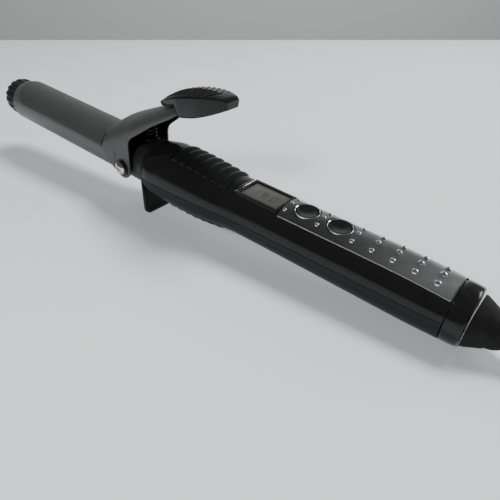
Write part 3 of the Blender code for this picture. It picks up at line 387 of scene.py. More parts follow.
def display_film(name):
    """The grey-green face of a liquid crystal display, seen through its window, with painted shade darkening it
    towards the edges inside the frame.
    """
    paint = Paint(name)
    x, y, _ = paint.axes()
    # painted shade: the face is drawn darker towards its edges, where the frame's wall rises round it
    edge = (y.size()).ramp(4.6, 6.6) * 0.6 + (x - 199.5).size().ramp(8.2, 10.4) * 0.6
    mottle = paint.noise(0.35, 2.0, 0.5)
    dots = paint.cells(4.0).under(0.2)
    tone = paint.mix((0.034, 0.035, 0.028, 1.0), (0.050, 0.051, 0.041, 1.0), mottle)
    return paint.finish(
        base_color=paint.mix(tone, (0.028, 0.029, 0.024, 1.0), edge + dots * 0.06),
        roughness=0.3 + mottle * 0.08,
        specular_ior_level=0.3,
        coat_weight=0.1, coat_roughness=0.05)


def display_ink(name, level):
    """Dark segments of the display."""
    paint = Paint(name)
    mottle = paint.noise(1.5, 2.0, 0.5)
    return paint.finish(base_color=paint.mix(grey(level * 0.8), grey(level * 1.25), mottle),
                        roughness=0.3 + mottle * 0.1)


def cable_jacket(name):
    """Soft PVC of the cord, with a faint lay of the cores under it and scuffs."""
    paint = Paint(name, (0.0, 0.0, 0.0), 0.0)
    grain = paint.noise(3.0, 3.0, 0.6)
    scuffs = paint.noise(0.18, 4.0, 0.65).ramp(0.55, 0.8)
    return paint.finish(
        base_color=paint.mix(grey(0.010), grey(0.030), scuffs),
        roughness=0.42 + scuffs * 0.2 + grain * 0.05,
        specular_ior_level=0.4,
        normal=paint.bump(grain, 0.02, 0.4))


def table_top(name):
    """A plain pale matt surface."""
    paint = Paint(name, (0.0, 0.0, 0.0), 0.0)
    cloud = paint.noise(0.004, 3.0, 0.5)
    grain = paint.noise(0.8, 2.0, 0.5)
    return paint.finish(
        base_color=paint.mix((0.50, 0.52, 0.53, 1.0), (0.56, 0.58, 0.59, 1.0), cloud),
        roughness=0.55 + grain * 0.08,
        specular_ior_level=0.3,
        normal=paint.bump(grain, 0.01, 0.2))


# the barrel's coating carries painted shade behind the x where the lever covers it
COATING = heat_coating("barrel coating", 0.085, 0.5, BARREL_SHADE_X)
CLIP_COATING = heat_coating("clip coating", 0.062, 0.5)
POLISHED = polished_plastic("polished black plastic")
SATIN = satin_plastic("satin black plastic", 0.007)
UNDERSIDE = satin_plastic("dark grey satin plastic", 0.009, 0.38)
GRIP = satin_plastic("ribbed grip plastic", 0.006, 0.30, 3.5, 0.03)
TIP_PLASTIC = satin_plastic("cool tip plastic", 0.010, 0.40)
RUBBER = soft_rubber("matte rubber", 0.009)
RUBBER_GRIP = soft_rubber("underside grip rubber", 0.011)
BRUSHED = brushed_metal("brushed steel")
CHROME = bright_plating("chrome", (0.86, 0.87, 0.88, 1.0))
NICKEL = bright_plating("nickel", (0.70, 0.66, 0.58, 1.0), 0.16, 0.5)
BLACK_STEEL = bare_metal("blackened steel", (0.05, 0.05, 0.055, 1.0), 0.3)
ZINC = bare_metal("zinc plate", (0.55, 0.55, 0.57, 1.0), 0.32)
ALUMINIUM = bare_metal("aluminium", (0.62, 0.63, 0.64, 1.0), 0.4, 2.0)
BRASS = bare_metal("brass", (0.70, 0.52, 0.22, 1.0), 0.22, 4.0)
CERAMIC = insulating_board("ceramic", (0.66, 0.64, 0.59, 1.0))
GLASS_FIBRE = insulating_board("glass fibre", (0.55, 0.52, 0.42, 1.0), 0.75)
NYLON = moulded_part("natural nylon", (0.68, 0.68, 0.63, 1.0), 0.5)
PART_BLACK = moulded_part("black moulding", (0.02, 0.02, 0.021, 1.0))
CAPACITOR = moulded_part("yellow film block", (0.55, 0.38, 0.07, 1.0))
BOARD = solder_mask("circuit board")
DISPLAY = display_film("display face")
SEGMENT = display_ink("display segments", 0.008)
GHOST = display_ink("display ghost segments", 0.048)
CABLE = cable_jacket("cord jacket")
TABLE = table_top("table top")
WALL_PAINT = moulded_part("wall paint", (0.60, 0.61, 0.61, 1.0), 0.8)
PLUG_RUBBER = soft_rubber("plug rubber", 0.014, (0.0, 0.0, 0.0), 0.0)

CAD_FINISHES = {
    "barrel_grey": COATING, "clip_grey": CLIP_COATING, "gloss_black": POLISHED, "satin_black": SATIN,
    "rubber_black": RUBBER, "tip_black": TIP_PLASTIC, "brushed_steel": BRUSHED, "chrome": CHROME,
    "nickel": NICKEL, "spring_steel": BLACK_STEEL, "zinc_steel": ZINC, "display_glass": DISPLAY,
    "display_body": PART_BLACK, "aluminium": ALUMINIUM, "heater_ceramic": CERAMIC, "glass_fibre": GLASS_FIBRE,
    "board_green": BOARD, "part_black": PART_BLACK, "capacitor_yellow": CAPACITOR, "brass": BRASS,
    "nylon": NYLON, "cord_black": CABLE,
}


def finish_cad_nodes():
    """Every node of the frame gets the finish of its slot; finer pieces replace some of them."""
    for part in frame["record"]["subparts"]:
        mesh = frame["nodes"][part["node"]].data
        mesh.materials.clear()
        mesh.materials.append(CAD_FINISHES[part["material_slot"]])


# ---- shaping tools ------------------------------------------------------------------------
def smooth_line(points):
    """A smooth function through (x, value) points that doesn't overshoot."""
    xs = [p[0] for p in points]
    vs = [p[1] for p in points]
    steps = [(vs[i + 1] - vs[i]) / (xs[i + 1] - xs[i]) for i in range(len(xs) - 1)]
    inner = [0.0 if a * b <= 0 else 2 * a * b / (a + b) for a, b in zip(steps, steps[1:])]
    slopes = [steps[0]] + inner + [steps[-1]]

    def value(x):
        if x <= xs[0]:
            return vs[0]
        if x >= xs[-1]:
            return vs[-1]
        i = max(k for k in range(len(xs) - 1) if xs[k] <= x)
        width = xs[i + 1] - xs[i]
        t = (x - xs[i]) / width
        return ((1 + 2 * t) * (1 - t) ** 2 * vs[i] + t * (1 - t) ** 2 * width * slopes[i]
                + t * t * (3 - 2 * t) * vs[i + 1] + t * t * (t - 1) * width * slopes[i + 1])
    return value


def filleted(profile, steps=4):
    """A line of (along, radius, fillet) points with each corner rounded by its fillet."""
    points = [Vector(p[:2]) for p in profile]
    line = []
    for i, corner in enumerate(points):
        fillet = profile[i][2] if len(profile[i]) > 2 else 0.0
        if fillet <= 0 or i in (0, len(points) - 1):
            line.append(corner)
            continue
        before = (points[i - 1] - corner)
        after = (points[i + 1] - corner)
        reach = min(fillet, before.length * 0.49, after.length * 0.49)
        start = corner + before.normalized() * reach
        end = corner + after.normalized() * reach
        for k in range(steps + 1):
            t = k / steps
            line.append(start * (1 - t) ** 2 + corner * 2 * t * (1 - t) + end * t * t)
    return line


def turned(profile, steps=96, centre=(0.0, 0.0, 0.0), axis="X"):
    """A profile of (along, radius, fillet) points spun about an axis through centre."""
    shape = bmesh.new()
    frame_of = {"X": (Vector((1, 0, 0)), Vector((0, 0, 1))), "Y": (Vector((0, 1, 0)), Vector((0, 0, 1))),
                "Z": (Vector((0, 0, 1)), Vector((1, 0, 0)))}
    spindle, outward = frame_of[axis]
    verts = [shape.verts.new(Vector(centre) + spindle * p.x + outward * p.y) for p in filleted(profile)]
    edges = [shape.edges.new(pair) for pair in zip(verts, verts[1:])]
    bmesh.ops.spin(shape, geom=verts + edges, cent=centre, axis=spindle, angle=2 * math.pi, steps=steps,
                   use_merge=True)
    bmesh.ops.remove_doubles(shape, verts=shape.verts, dist=1e-4)
    return shape


def sheet(columns, rows, place):
    """A grid whose points go where place(u, v) says, with u and v from 0 to 1."""
    shape = bmesh.new()
    bmesh.ops.create_grid(shape, x_segments=columns, y_segments=rows, size=0.5)
    for vert in shape.verts:
        vert.co = place(vert.co.x + 0.5, vert.co.y + 0.5)
    return shape


def tube_of(rings, columns, place):
    """A skin of rings round an axis, place(u, turn) with turn from 0 to 2 pi, and its ends filled."""
    shape = bmesh.new()
    previous = None
    for k in range(rings + 1):
        ring = [shape.verts.new(place(k / rings, 2 * math.pi * i / columns)) for i in range(columns)]
        edges = [shape.edges.new((ring[i], ring[(i + 1) % columns])) for i in range(columns)]
        if k in (0, rings):
            shape.faces.new(ring)
        if previous:
            bmesh.ops.bridge_loops(shape, edges=previous + edges)
        previous = edges
    return shape


def box_shape(low, high, bevel=0.0, segments=3):
    """A block with rounded edges."""
    shape = bmesh.new()
    bmesh.ops.create_cube(shape, size=1.0)
    low, high = Vector(low), Vector(high)
    bmesh.ops.scale(shape, vec=high - low, verts=shape.verts)
    bmesh.ops.translate(shape, vec=(low + high) / 2, verts=shape.verts)
    if bevel:
        bmesh.ops.bevel(shape, geom=shape.edges[:], offset=bevel, affect="EDGES",
                        segments=segments, profile=0.5, material=-1)
    return shape


def joined(*shapes):
    """Several shapes as one."""
    whole = bmesh.new()
    for shape in shapes:
        mesh = bpy.data.meshes.new("joined")
        shape.to_mesh(mesh)
        shape.free()
        whole.from_mesh(mesh)
        bpy.data.meshes.remove(mesh)
    return whole


def add_piece(name, shape, material, body="tool", replaces=(), sharp=35.0, place=TOOL):
    """Puts a shape on a body as a finished piece. Edges over sharp degrees stay sharp."""
    bmesh.ops.remove_doubles(shape, verts=shape.verts, dist=1e-4)
    bmesh.ops.recalc_face_normals(shape, faces=shape.faces)
    shape.transform(place)
    mesh = bpy.data.meshes.new(name)
    shape.to_mesh(mesh)
    shape.free()
    mesh.shade_smooth()
    mesh.set_sharp_from_angle(angle=math.radians(sharp))
    mesh.materials.append(material)
    made = bpy.data.objects.new(name, mesh)
    bpy.context.scene.collection.objects.link(made)
    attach(made, body)
    if replaces:
        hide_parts(*replaces)
    return made


def carve(made, shape, place=TOOL, sharp=35.0):
    """Cuts a shape out of a piece."""
    bmesh.ops.recalc_face_normals(shape, faces=shape.faces)
    shape.transform(place)
    mesh = bpy.data.meshes.new("cutter")
    shape.to_mesh(mesh)
    shape.free()
    tool = bpy.data.objects.new("cutter", mesh)
    bpy.context.scene.collection.objects.link(tool)
    cut = made.modifiers.new("cut", "BOOLEAN")
    cut.object = tool
    cut.solver = "EXACT"
    shown = made.evaluated_get(bpy.context.evaluated_depsgraph_get())
    carved = bpy.data.meshes.new_from_object(shown)
    made.modifiers.clear()
    made.data = carved
    carved.shade_smooth()
    carved.set_sharp_from_angle(angle=math.radians(sharp))
    bpy.data.objects.remove(tool)


def soften(made, width, segments=2, angle=35.0):
    """Rounds the sharp edges of a piece by width, in millimetres."""
    bevel = made.modifiers.new("edges", "BEVEL")
    bevel.width = width * MM
    bevel.segments = segments
    bevel.limit_method = "ANGLE"
    bevel.angle_limit = math.radians(angle)
    bevel.harden_normals = False


# ---- cord, plug and hank ------------------------------------------------------------------
STRAIN_END = Vector((346.0, 0.0, SWIVEL_Z))
CORD_FLOOR = 0.7
CORD_LOW = CORD_FLOOR + CORD_R
CORD_STEP = 2 * CORD_R
HANK_X, HANK_Y, HANK_RUN, HANK_FOLD_R = 54.0, -10.4, 93.0, 24.8
TAIL_RUN = 45.0
PLUG_LEN, PLUG_HALF, PLUG_THICK, PLUG_NECK = 36.0, 12.0, 16.0, 4.6
BLADE_LEN, BLADE_WIDE, BLADE_T, BLADE_PITCH = 17.5, 6.4, 1.5, 12.7
CORD_ROUTE = ((18.0, 2.2, 6.6), (28.2, 6.4, 4.75), (34.0, 8.9, 4.1), (41.0, 11.8, 3.82))

# Each turn of the hank: how many steps it lies inwards and upwards before and after the run
# nearest the camera, where it moves to the next turn's place, and where on that run it starts to.
HANK_TURNS = (((0, 0), (0, 1), 0.5), ((0, 1), (0, 2), 0.5), ((0, 2), (1, 2), 0.25), ((1, 2), (1, 1), 0.0),
              ((1, 1), (1, 0), 0.0))
MOVE = 0.5
RUN_POINTS, FOLD_POINTS, MOVE_POINTS = 10, 12, 16


def smooth_route(points, steps):
    """Points of a smooth curve through the given ones."""
    vectors = [Vector(p) for p in points]
    padded = [2 * vectors[0] - vectors[1]] + vectors + [2 * vectors[-1] - vectors[-2]]
    route = []
    for a, b, c, d in zip(padded, padded[1:], padded[2:], padded[3:]):
        for i in range(steps):
            t = i / steps
            route.append(0.5 * ((2 * b) + (c - a) * t + (2 * a - 5 * b + 4 * c - d) * t * t
                                + (3 * b - a - 3 * c + d) * t ** 3))
    return route + [vectors[-1]]


def eased(t, start=0.0, end=1.0):
    """0 up to start, 1 from end on, and a smooth step between them."""
    share = min(1.0, max(0.0, (t - start) / (end - start)))
    return share * share * (3 - 2 * share)


def cord_line():
    """The cord's whole centreline in the frame's millimetres, and where the first fold's centre is."""
    start = (TOOL @ (STRAIN_END + Vector((GAP, 0, 0)))) / MM
    lead = (TOOL @ (STRAIN_END + Vector((8.0, 0, 0)))) / MM
    base = Vector((start.x, start.y, 0.0))
    fold_x = start.x + HANK_X
    entry = Vector((fold_x, HANK_Y + HANK_FOLD_R, CORD_LOW))
    line = smooth_route([start, lead] + [base + Vector(p) for p in CORD_ROUTE] + [entry], 4)

    def at(inward, up):
        return HANK_FOLD_R - inward * CORD_STEP, CORD_LOW + up * CORD_STEP

    def fold(centre_x, radius, z, side):
        for k in range(1, FOLD_POINTS + 1):
            angle = side * math.pi / 2 - math.pi * k / FOLD_POINTS
            line.append(Vector((centre_x + radius * math.cos(angle), HANK_Y + radius * math.sin(angle), z)))

    def far_half(radius, z):
        for k in range(1, RUN_POINTS + 1):
            line.append(Vector((fold_x + HANK_RUN * k / RUN_POINTS, HANK_Y + radius, z)))
        fold(fold_x + HANK_RUN, radius, z, 1)

    for before, after, move in HANK_TURNS:
        radius, z = at(*before)
        next_radius, next_z = at(*after)
        far_half(radius, z)
        for k in range(1, MOVE_POINTS + 1):
            share = eased(k / MOVE_POINTS, move, move + MOVE)
            line.append(Vector((fold_x + HANK_RUN * (1 - k / MOVE_POINTS),
                                HANK_Y - radius - (next_radius - radius) * share, z + (next_z - z) * share)))
        fold(fold_x, next_radius, next_z, -1)
    radius, z = at(1, 0)
    far_half(radius, z)
    plug_z = CORD_FLOOR + PLUG_THICK / 2
    for k in range(1, MOVE_POINTS + 1):
        share = eased(k / MOVE_POINTS)
        line.append(Vector((fold_x + HANK_RUN - TAIL_RUN * k / MOVE_POINTS, HANK_Y - radius * (1 - share),
                            z + (plug_z - z) * share)))
    return line, fold_x


def make_cord():
    """The cord as one curve; gives it, its exit, its length in metres and the first fold's place."""
    line, fold_x = cord_line()
    length = sum((b - a).length for a, b in zip(line, line[1:]))
    curve = bpy.data.curves.new("mains_cord", "CURVE")
    curve.dimensions = "3D"
    curve.bevel_depth = CORD_R * MM
    curve.bevel_resolution = 6
    curve.use_fill_caps = True
    spline = curve.splines.new("POLY")
    spline.points.add(len(line) - 1)
    for point, place in zip(spline.points, line):
        point.co = (*(place * MM), 1.0)
    curve.materials.append(CABLE)
    cord = bpy.data.objects.new("mains_cord", curve)
    bpy.context.scene.collection.objects.link(cord)
    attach(cord, "tool")
    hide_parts("power_cord", "cord_hank", "plug_lead")
    return cord, line[0] * MM, round(length * MM, 3), fold_x


# ---- the handle's outline -----------------------------------------------------------------
HALF_WIDTH = smooth_line(((127, 14.2), (130, 15.7), (134, 16.4), (150, 16.3), (168, 15.9), (192, 14.3),
                          (215, 14.1), (275, 14.1), (300.3, 13.3)))
TOP_FRONT_X = 139.5
TOP_FRONT = smooth_line(((127, 14.2), (129.7, 15.0), (TOP_FRONT_X, 17.2)))
TOP_REAR = smooth_line(((TOP_FRONT_X, 17.2), (160, 16.6), (187, 14.7), (230, 15.0), (265, 15.3),
                        (300.3, 14.2)))
BOTTOM = smooth_line(((127, -14.2), (131, -14.9), (160, -15.4), (192, -12.0), (270, -11.9), (300.3, -11.3)))


def top(x):
    """Height of the handle's ridge."""
    return TOP_FRONT(x) if x < TOP_FRONT_X else TOP_REAR(x)


def split(x):
    """Height of the seam between the two shells."""
    return -0.4 + 0.0265 * (x - 132.0)


def skin_at(x, y, upper=True):
    """Height of the handle's surface over or under (x, y)."""
    end = top(x) if upper else BOTTOM(x)
    return split(x) + (end - split(x)) * math.sqrt(max(0.0, 1 - (y / HALF_WIDTH(x)) ** 2))


def stations(x0, x1, step):
    """Equal steps of about step from x0 to x1."""
    count = max(1, round((x1 - x0) / step))
    return [x0 + (x1 - x0) * i / count for i in range(count + 1)]


def lofted(rings):
    """A closed skin through rings of equally many points."""
    shape = bmesh.new()
    rows = [[shape.verts.new(p) for p in ring] for ring in rings]
    for a, b in zip(rows, rows[1:]):
        for i in range(len(a)):
            j = (i + 1) % len(a)
            shape.faces.new((a[i], a[j], b[j], b[i]))
    shape.faces.new(rows[0])
    shape.faces.new(rows[-1])
    return shape


def shell_ring(x, upper, columns=48):
    """Closed outline of a handle shell at x: its skin and, a wall further in, its inside."""
    seam = split(x) if upper else split(x) - GAP
    height = (top(x) if upper else BOTTOM(x)) - seam
    wall = WALL if upper else -WALL
    half = HALF_WIDTH(x)
    angles = [math.pi * i / columns for i in range(columns + 1)]
    outer = [(x, half * math.cos(a), seam + height * math.sin(a)) for a in angles]
    inner = [(x, (half - WALL) * math.cos(a), seam + (height - wall) * math.sin(a)) for a in reversed(angles)]
    return outer + inner


def skin_patch(xs, half, inset, outset, upper=True, columns=32):
    """A piece that follows the handle's skin, inset below it and outset above it."""
    sign = 1 if upper else -1
    rings = []
    for x in xs:
        out = outset(x) if callable(outset) else outset
        ys = [half * (1 - 2 * i / columns) for i in range(columns + 1)]
        rings.append([(x, y, skin_at(x, y, upper) + sign * out) for y in ys]
                     + [(x, y, skin_at(x, y, upper) - sign * inset) for y in reversed(ys)])
    return lofted(rings)


def skin_strip(x0, x1, y0, y1, lift=0.1):
    """A thin raised line along the handle's upper skin."""
    rings = []
    for x in stations(x0, x1, 4.0):
        z0, z1 = skin_at(x, y0), skin_at(x, y1)
        rings.append([(x, y0, z0 + lift), (x, y1, z1 + lift), (x, y1, z1 - 0.3), (x, y0, z0 - 0.3)])
    return lofted(rings)


def rod(z0, z1, radius, x):
    """An upright round rod on the handle's middle plane."""
    return turned(((z0, 0.0), (z0, radius), (z1, radius), (z1, 0.0)), 64, (x, 0.0, 0.0), "Z")


OPENING_Z0, OPENING_Z1 = 6.0, 20.0          # heights between which the upper openings are cut
HANDLE_SCREW_XS, HANDLE_SCREW_R = (174.0, 276.0), 2.7


def make_shells():
    """The handle's two shells, with the openings and pockets for what they carry."""
    xs = stations(SHELL_X0, SHELL_X1, 2.4)
    upper = add_piece("upper_shell", lofted([shell_ring(x, True) for x in xs]), POLISHED,
                      replaces=("handle_upper_shell",))
    lower = add_piece("lower_shell", lofted([shell_ring(x, False) for x in xs]), UNDERSIDE,
                      replaces=("handle_lower_shell",))
    carve(upper, skin_patch(stations(PANEL_X0 - GAP, CAP_X0 + 2, 3.0), PANEL_HALF + GAP, PANEL_T + GAP, 3.0))
    carve(upper, box_shape((DISPLAY_X0 - GAP, -DISPLAY_HALF - GAP, 4.0),
                           (DISPLAY_X1 + GAP, DISPLAY_HALF + GAP, OPENING_Z1)))
    for x in BUTTON_XS.values():
        carve(upper, rod(OPENING_Z0, OPENING_Z1, TRIM_R + GAP, x))
    pocket = stations(GRIP_X0 - GAP, GRIP_X1 + GAP, 3.0)
    carve(upper, skin_patch(pocket, GRIP_HALF_TOP + GAP, GRIP_DEPTH + GAP, 4.0))
    carve(lower, skin_patch(pocket, GRIP_HALF_UNDER + GAP, GRIP_DEPTH + GAP, 4.0, False))
    for x in HANDLE_SCREW_XS:
        carve(lower, rod(BOTTOM(x) - 3, BOTTOM(x) + WALL + 1, HANDLE_SCREW_R, x))
    for made in (upper, lower):
        soften(made, 0.25)


def rib_height(x):
    """The grip's ribs along the handle."""
    phase = (x - RIB_X0) / RIB_PITCH
    return RIB_HEIGHT * 1.15 * (0.5 + 0.5 * math.cos(2 * math.pi * phase)) ** 0.6


def make_grips():
    """The ribbed inserts on top of the handle and under it."""
    xs = stations(GRIP_X0, GRIP_X1, RIB_PITCH / 14)
    upper = skin_patch(xs, GRIP_HALF_TOP, GRIP_DEPTH, rib_height)
    soften(add_piece("upper_grip", upper, GRIP, replaces=("grip_insert_upper",)), 0.2)
    lower = skin_patch(xs, GRIP_HALF_UNDER, GRIP_DEPTH, lambda x: 0.6 * rib_height(x), False)
    soften(add_piece("lower_grip", lower, RUBBER_GRIP, replaces=("grip_insert_lower",)), 0.2)


PLATE_HALF, PLATE_CORNER = 13.3, 3.0
RECESS_HALF, RECESS_TOP, RECESS_DEPTH, RECESS_LIP = 11.4, -15.9, 1.1, 2.2


def collar_ring(x):
    """Outline of the collar and its stand plate."""
    half, seam, crown = HALF_WIDTH(x), split(x), top(x)
    foot = FOOT_Z + math.tan(TILT) * (x - COLLAR_X0)
    arc = [(half * math.cos(math.pi * i / 60), seam + (crown - seam) * math.sin(math.pi * i / 60))
           for i in range(61)]
    left = [(-half, seam - 5.0)]
    for k in range(9):
        angle = math.pi + math.pi / 2 * k / 8
        left.append((-PLATE_HALF + PLATE_CORNER * (1 + math.cos(angle)),
                     foot + PLATE_CORNER * (1 + math.sin(angle))))
    return [(x, y, z) for y, z in arc + left + [(-y, z) for y, z in reversed(left)]]


def make_collar():
    """The collar at the handle's front, with the plate that the iron stands on."""
    collar = add_piece("stand_plate", lofted([collar_ring(x) for x in (COLLAR_X0, 128.4, COLLAR_X1)]), SATIN,
                       replaces=("front_collar_stand",))
    hole = BARREL_R + GAP
    carve(collar, turned(((125, 0.0), (125, hole), (132, hole), (132, 0.0)), 96))
    carve(collar, box_shape((COLLAR_X1 - RECESS_DEPTH, -RECESS_HALF, FOOT_Z + RECESS_LIP),
                            (COLLAR_X1 + 3, RECESS_HALF, RECESS_TOP), 0.6))
    soften(collar, 0.45, 3)


# ---- barrel and tip -------------------------------------------------------------------------
BARREL_X0, BARREL_X1, BARREL_BORE = 0.3, 139.9, 11.5
TIP_R, TIP_DOME, TIP_SLEEVE = 11.7, 10.0, 7.5
TIP_DOME_SHARE = 0.62                       # of the tip's rings; the others are its sleeve's
TIP_RIBS, TIP_GROOVE, TIP_PLAIN_R = 16, 0.75, 5.6


def make_barrel():
    """The heated tube and the ribbed tip that stays cool."""
    tube = turned(((BARREL_X0, BARREL_BORE), (BARREL_X0, BARREL_R, 0.25), (BARREL_X1, BARREL_R),
                   (BARREL_X1, BARREL_BORE), (BARREL_X0, BARREL_BORE)), 160)
    add_piece("barrel", tube, COATING, replaces=("barrel_tube",))

    def tip_place(u, turn):
        angle = math.pi / 2 * min(1.0, u / TIP_DOME_SHARE)
        x = -TIP_SLEEVE - TIP_DOME * math.cos(angle)
        if u > TIP_DOME_SHARE:
            x = TIP_SLEEVE * (u - TIP_DOME_SHARE) / (1 - TIP_DOME_SHARE) - TIP_SLEEVE
        radius = TIP_R * math.sin(angle)
        wave = max(0.0, -math.cos(TIP_RIBS * turn) - 0.1) / 0.9
        groove = TIP_GROOVE * wave ** 0.5 * min(1.0, max(0.0, (radius - TIP_PLAIN_R) / 2.0))
        radius = max(0.02, radius - groove)
        return Vector((x, radius * math.cos(turn), radius * math.sin(turn)))

    tip = add_piece("ribbed_tip", tube_of(40, 320, tip_place), TIP_PLASTIC,
                    replaces=("cool_tip",), sharp=50)
    soften(tip, 0.1)


# ---- clip, thumb pad and pivot --------------------------------------------------------------
LEVER_TOP = smooth_line(((93.0, 13.75), (96.0, 15.3), (99.0, 17.9), (104.0, 21.4), (111.0, 25.6),
                         (122.2, 31.0), (131.0, 35.0), (141.0, 39.0), (148.0, 41.8), (166.0, 46.8)))
LEVER_HALF = smooth_line(((92.0, 13.75), (99.0, 14.5), (119.0, 14.5), (126.9, 13.0), (134.0, 10.9),
                          (147.6, 9.0), (150.0, 6.8), (166.0, 6.4)))
LEVER_ARCH = smooth_line(((92.0, 13.75), (98.0, 14.5), (111.0, 14.0), (122.0, 10.5), (134.0, 7.6),
                          (148.0, 4.8), (166.0, 3.0)))
LEVER_EDGE = smooth_line(((118.9, 13.4), (119.5, 15.8), (120.6, 17.4), (126.9, 22.3), (133.8, 27.6),
                          (147.6, 36.4), (150.0, 38.6), (166.0, 43.2)))
EAR_R = 6.2
SPOON_X0, SPOON_X1 = 5.0, 92.0
SPOON_NOSE, SPOON_ANGLE = 10.0, 72.0        # the rounded end's length, and degrees to the side edge
SLIT_X0, SLIT_X1, SLIT_Y0, SLIT_Y1 = 93.0, 94.3, 8.6, 18.0


def clip_edge(x):
    """Height of the clip's lower edge."""
    level = SPOON_R * math.cos(math.radians(SPOON_ANGLE))
    if x <= SPOON_X1:
        t = min(1.0, (x - SPOON_X0) / SPOON_NOSE)
        angle = max(5.0, SPOON_ANGLE * math.sqrt(max(0.0, 1 - (1 - t) ** 2)))
        return SPOON_R * math.cos(math.radians(angle))
    ear_x, ear_z = PIVOT.x - 0.8 * EAR_R, PIVOT.z - 0.6 * EAR_R
    if x < ear_x:
        return level + (ear_z - level) * eased(x, SPOON_X1, ear_x)
    if x < PIVOT.x + EAR_R:
        return PIVOT.z - math.sqrt(EAR_R ** 2 - (x - PIVOT.x) ** 2)
    return LEVER_EDGE(x)


def resample(points, count):
    """The same line with count equal steps."""
    lengths = [0.0]
    for a, b in zip(points, points[1:]):
        lengths.append(lengths[-1] + math.dist(a, b))
    result = []
    for i in range(count + 1):
        target = lengths[-1] * i / count
        k = next((k for k in range(1, len(lengths)) if lengths[k] >= target - 1e-9), len(lengths) - 1)
        t = (target - lengths[k - 1]) / max(1e-9, lengths[k] - lengths[k - 1])
        result.append(tuple(a + (b - a) * t for a, b in zip(points[k - 1], points[k])))
    return result


def clip_ring(x, half_columns=28):
    """Closed outline of the clip's sheet metal at x."""
    half, crown, arch, edge = LEVER_HALF(x), LEVER_TOP(x), LEVER_ARCH(x), clip_edge(x)
    centre = crown - arch
    dense, start = [], 0.0
    if edge < centre:
        dense = [(half, edge + (centre - edge) * i / 10) for i in range(10)]
    else:
        start = math.asin(min(0.999, (edge - centre) / arch))
    for i in range(81):
        angle = start + (math.pi / 2 - start) * i / 80
        dense.append((half * math.cos(angle), centre + arch * math.sin(angle)))
    side = resample(dense, half_columns)
    outer = side[:-1] + [(-y, z) for y, z in reversed(side)]
    inner = []
    for i, (y, z) in enumerate(outer):
        y0, z0 = outer[max(0, i - 1)]
        y1, z1 = outer[min(len(outer) - 1, i + 1)]
        length = math.hypot(y1 - y0, z1 - z0)
        inner.append((y - (z1 - z0) / length * SHEET, z + (y1 - y0) / length * SHEET))
    return [(x, y, z) for y, z in outer + inner[::-1]]


def make_clip():
    """The spoon, its ears round the pivot and the lever, as one sheet, with a slit on each side."""
    tip = [SPOON_X0 + SPOON_NOSE * (1 - math.cos(math.pi / 2 * i / 14)) for i in range(15)]
    ear = [PIVOT.x + EAR_R * math.sin(math.pi * (i / 20 - 0.5)) for i in range(2, 20)] + [118.78]
    lever = [118.9, 119.2, 119.5, 120.0] + stations(120.6, 166.0, 1.5)
    xs = tip + stations(19.0, 91.9, 4.0) + stations(93.0, 107.0, 1.0) + ear + lever
    clip = add_piece("clip_sheet", lofted([clip_ring(x) for x in xs]), CLIP_COATING, "clip",
                     replaces=("clip_plate",), sharp=50)
    for side in (1, -1):
        low, high = sorted((side * SLIT_Y0, side * SLIT_Y1))
        carve(clip, box_shape((SLIT_X0, low, 0.0), (SLIT_X1, high, 15.0)), sharp=50)
    soften(clip, 0.16, 2, 50)


PAD_HALF = smooth_line(((134, 4.6), (137, 6.4), (143, 8.0), (152, 9.0), (161, 8.9), (169, 7.4), (174, 5.6),
                        (177, 4.0)))
PAD_RIDGE = smooth_line(((134, 39.2), (139.4, 41.9), (149, 45.7), (162.5, 49.5), (171, 51.0), (174.5, 51.2),
                         (177, 50.6)))
PAD_DOME = smooth_line(((134, 0.2), (140, 1.7), (147, 2.7), (155, 2.9), (163, 2.2), (171, 1.2),
                        (174.5, 0.7), (177, 0.2)))
PAD_UNDER = smooth_line(((134, 37.8), (139.6, 38.8), (147.6, 41.4), (149.4, 37.0), (157, 38.5), (163.5, 40.8),
                         (171, 44.2), (177, 47.3)))
PAD_X0, PAD_X1 = 134.0, 177.0
TOOTH_PITCH, TOOTH_HEIGHT = 3.1, 0.85


def pad_ring(x, columns=64):
    """Closed outline of the thumb pad at x, with the saw teeth of its top."""
    half, ridge, dome, under = PAD_HALF(x), PAD_RIDGE(x), PAD_DOME(x), PAD_UNDER(x)
    points = []
    for i in range(columns + 1):
        angle = math.pi * i / columns
        y = half * math.cos(angle)
        field = eased(x, 138.0, 140.0) * (1 - eased(x, 169.0, 171.0))
        field *= 1 - eased(abs(math.cos(angle)), 0.80, 0.90)
        wave = ((x + 0.55 * abs(y)) / TOOTH_PITCH) % 1.0
        tooth = TOOTH_HEIGHT * (wave if wave < 0.75 else 3 * (1 - wave)) * field
        points.append((x, y, ridge + dome * math.sin(angle) + tooth - 0.25 * field))
    return points + [(x, -half * 0.94, under + 1.2), (x, -half * 0.86, under), (x, half * 0.86, under),
                     (x, half * 0.94, under + 1.2)]


def make_pad():
    """The thumb pad on the lever's end."""
    skin = lofted([pad_ring(x) for x in stations(PAD_X0, PAD_X1, 0.4)])
    add_piece("textured_pad", skin, POLISHED, "clip", replaces=("thumb_pad",), sharp=38)


# Each profile runs outwards from the iron's middle: (across, radius, fillet).
SCREW_PROFILE = ((7.0, 0.0, 0), (7.0, 1.6, 0), (15.7, 1.6, 0), (15.7, 3.6, 0.15), (16.4, 3.6, 0.7),
                 (17.5, 2.0, 0.6), (17.5, 0.0, 0))
WASHER_PROFILE = ((14.8, 1.9, 0), (14.8, 4.6, 0.1), (15.4, 4.6, 0.25), (15.4, 1.9, 0), (14.8, 1.9, 0))
CROSS_LONG, CROSS_THIN, CROSS_Y0, CROSS_Y1 = 2.0, 0.36, 16.5, 19.0


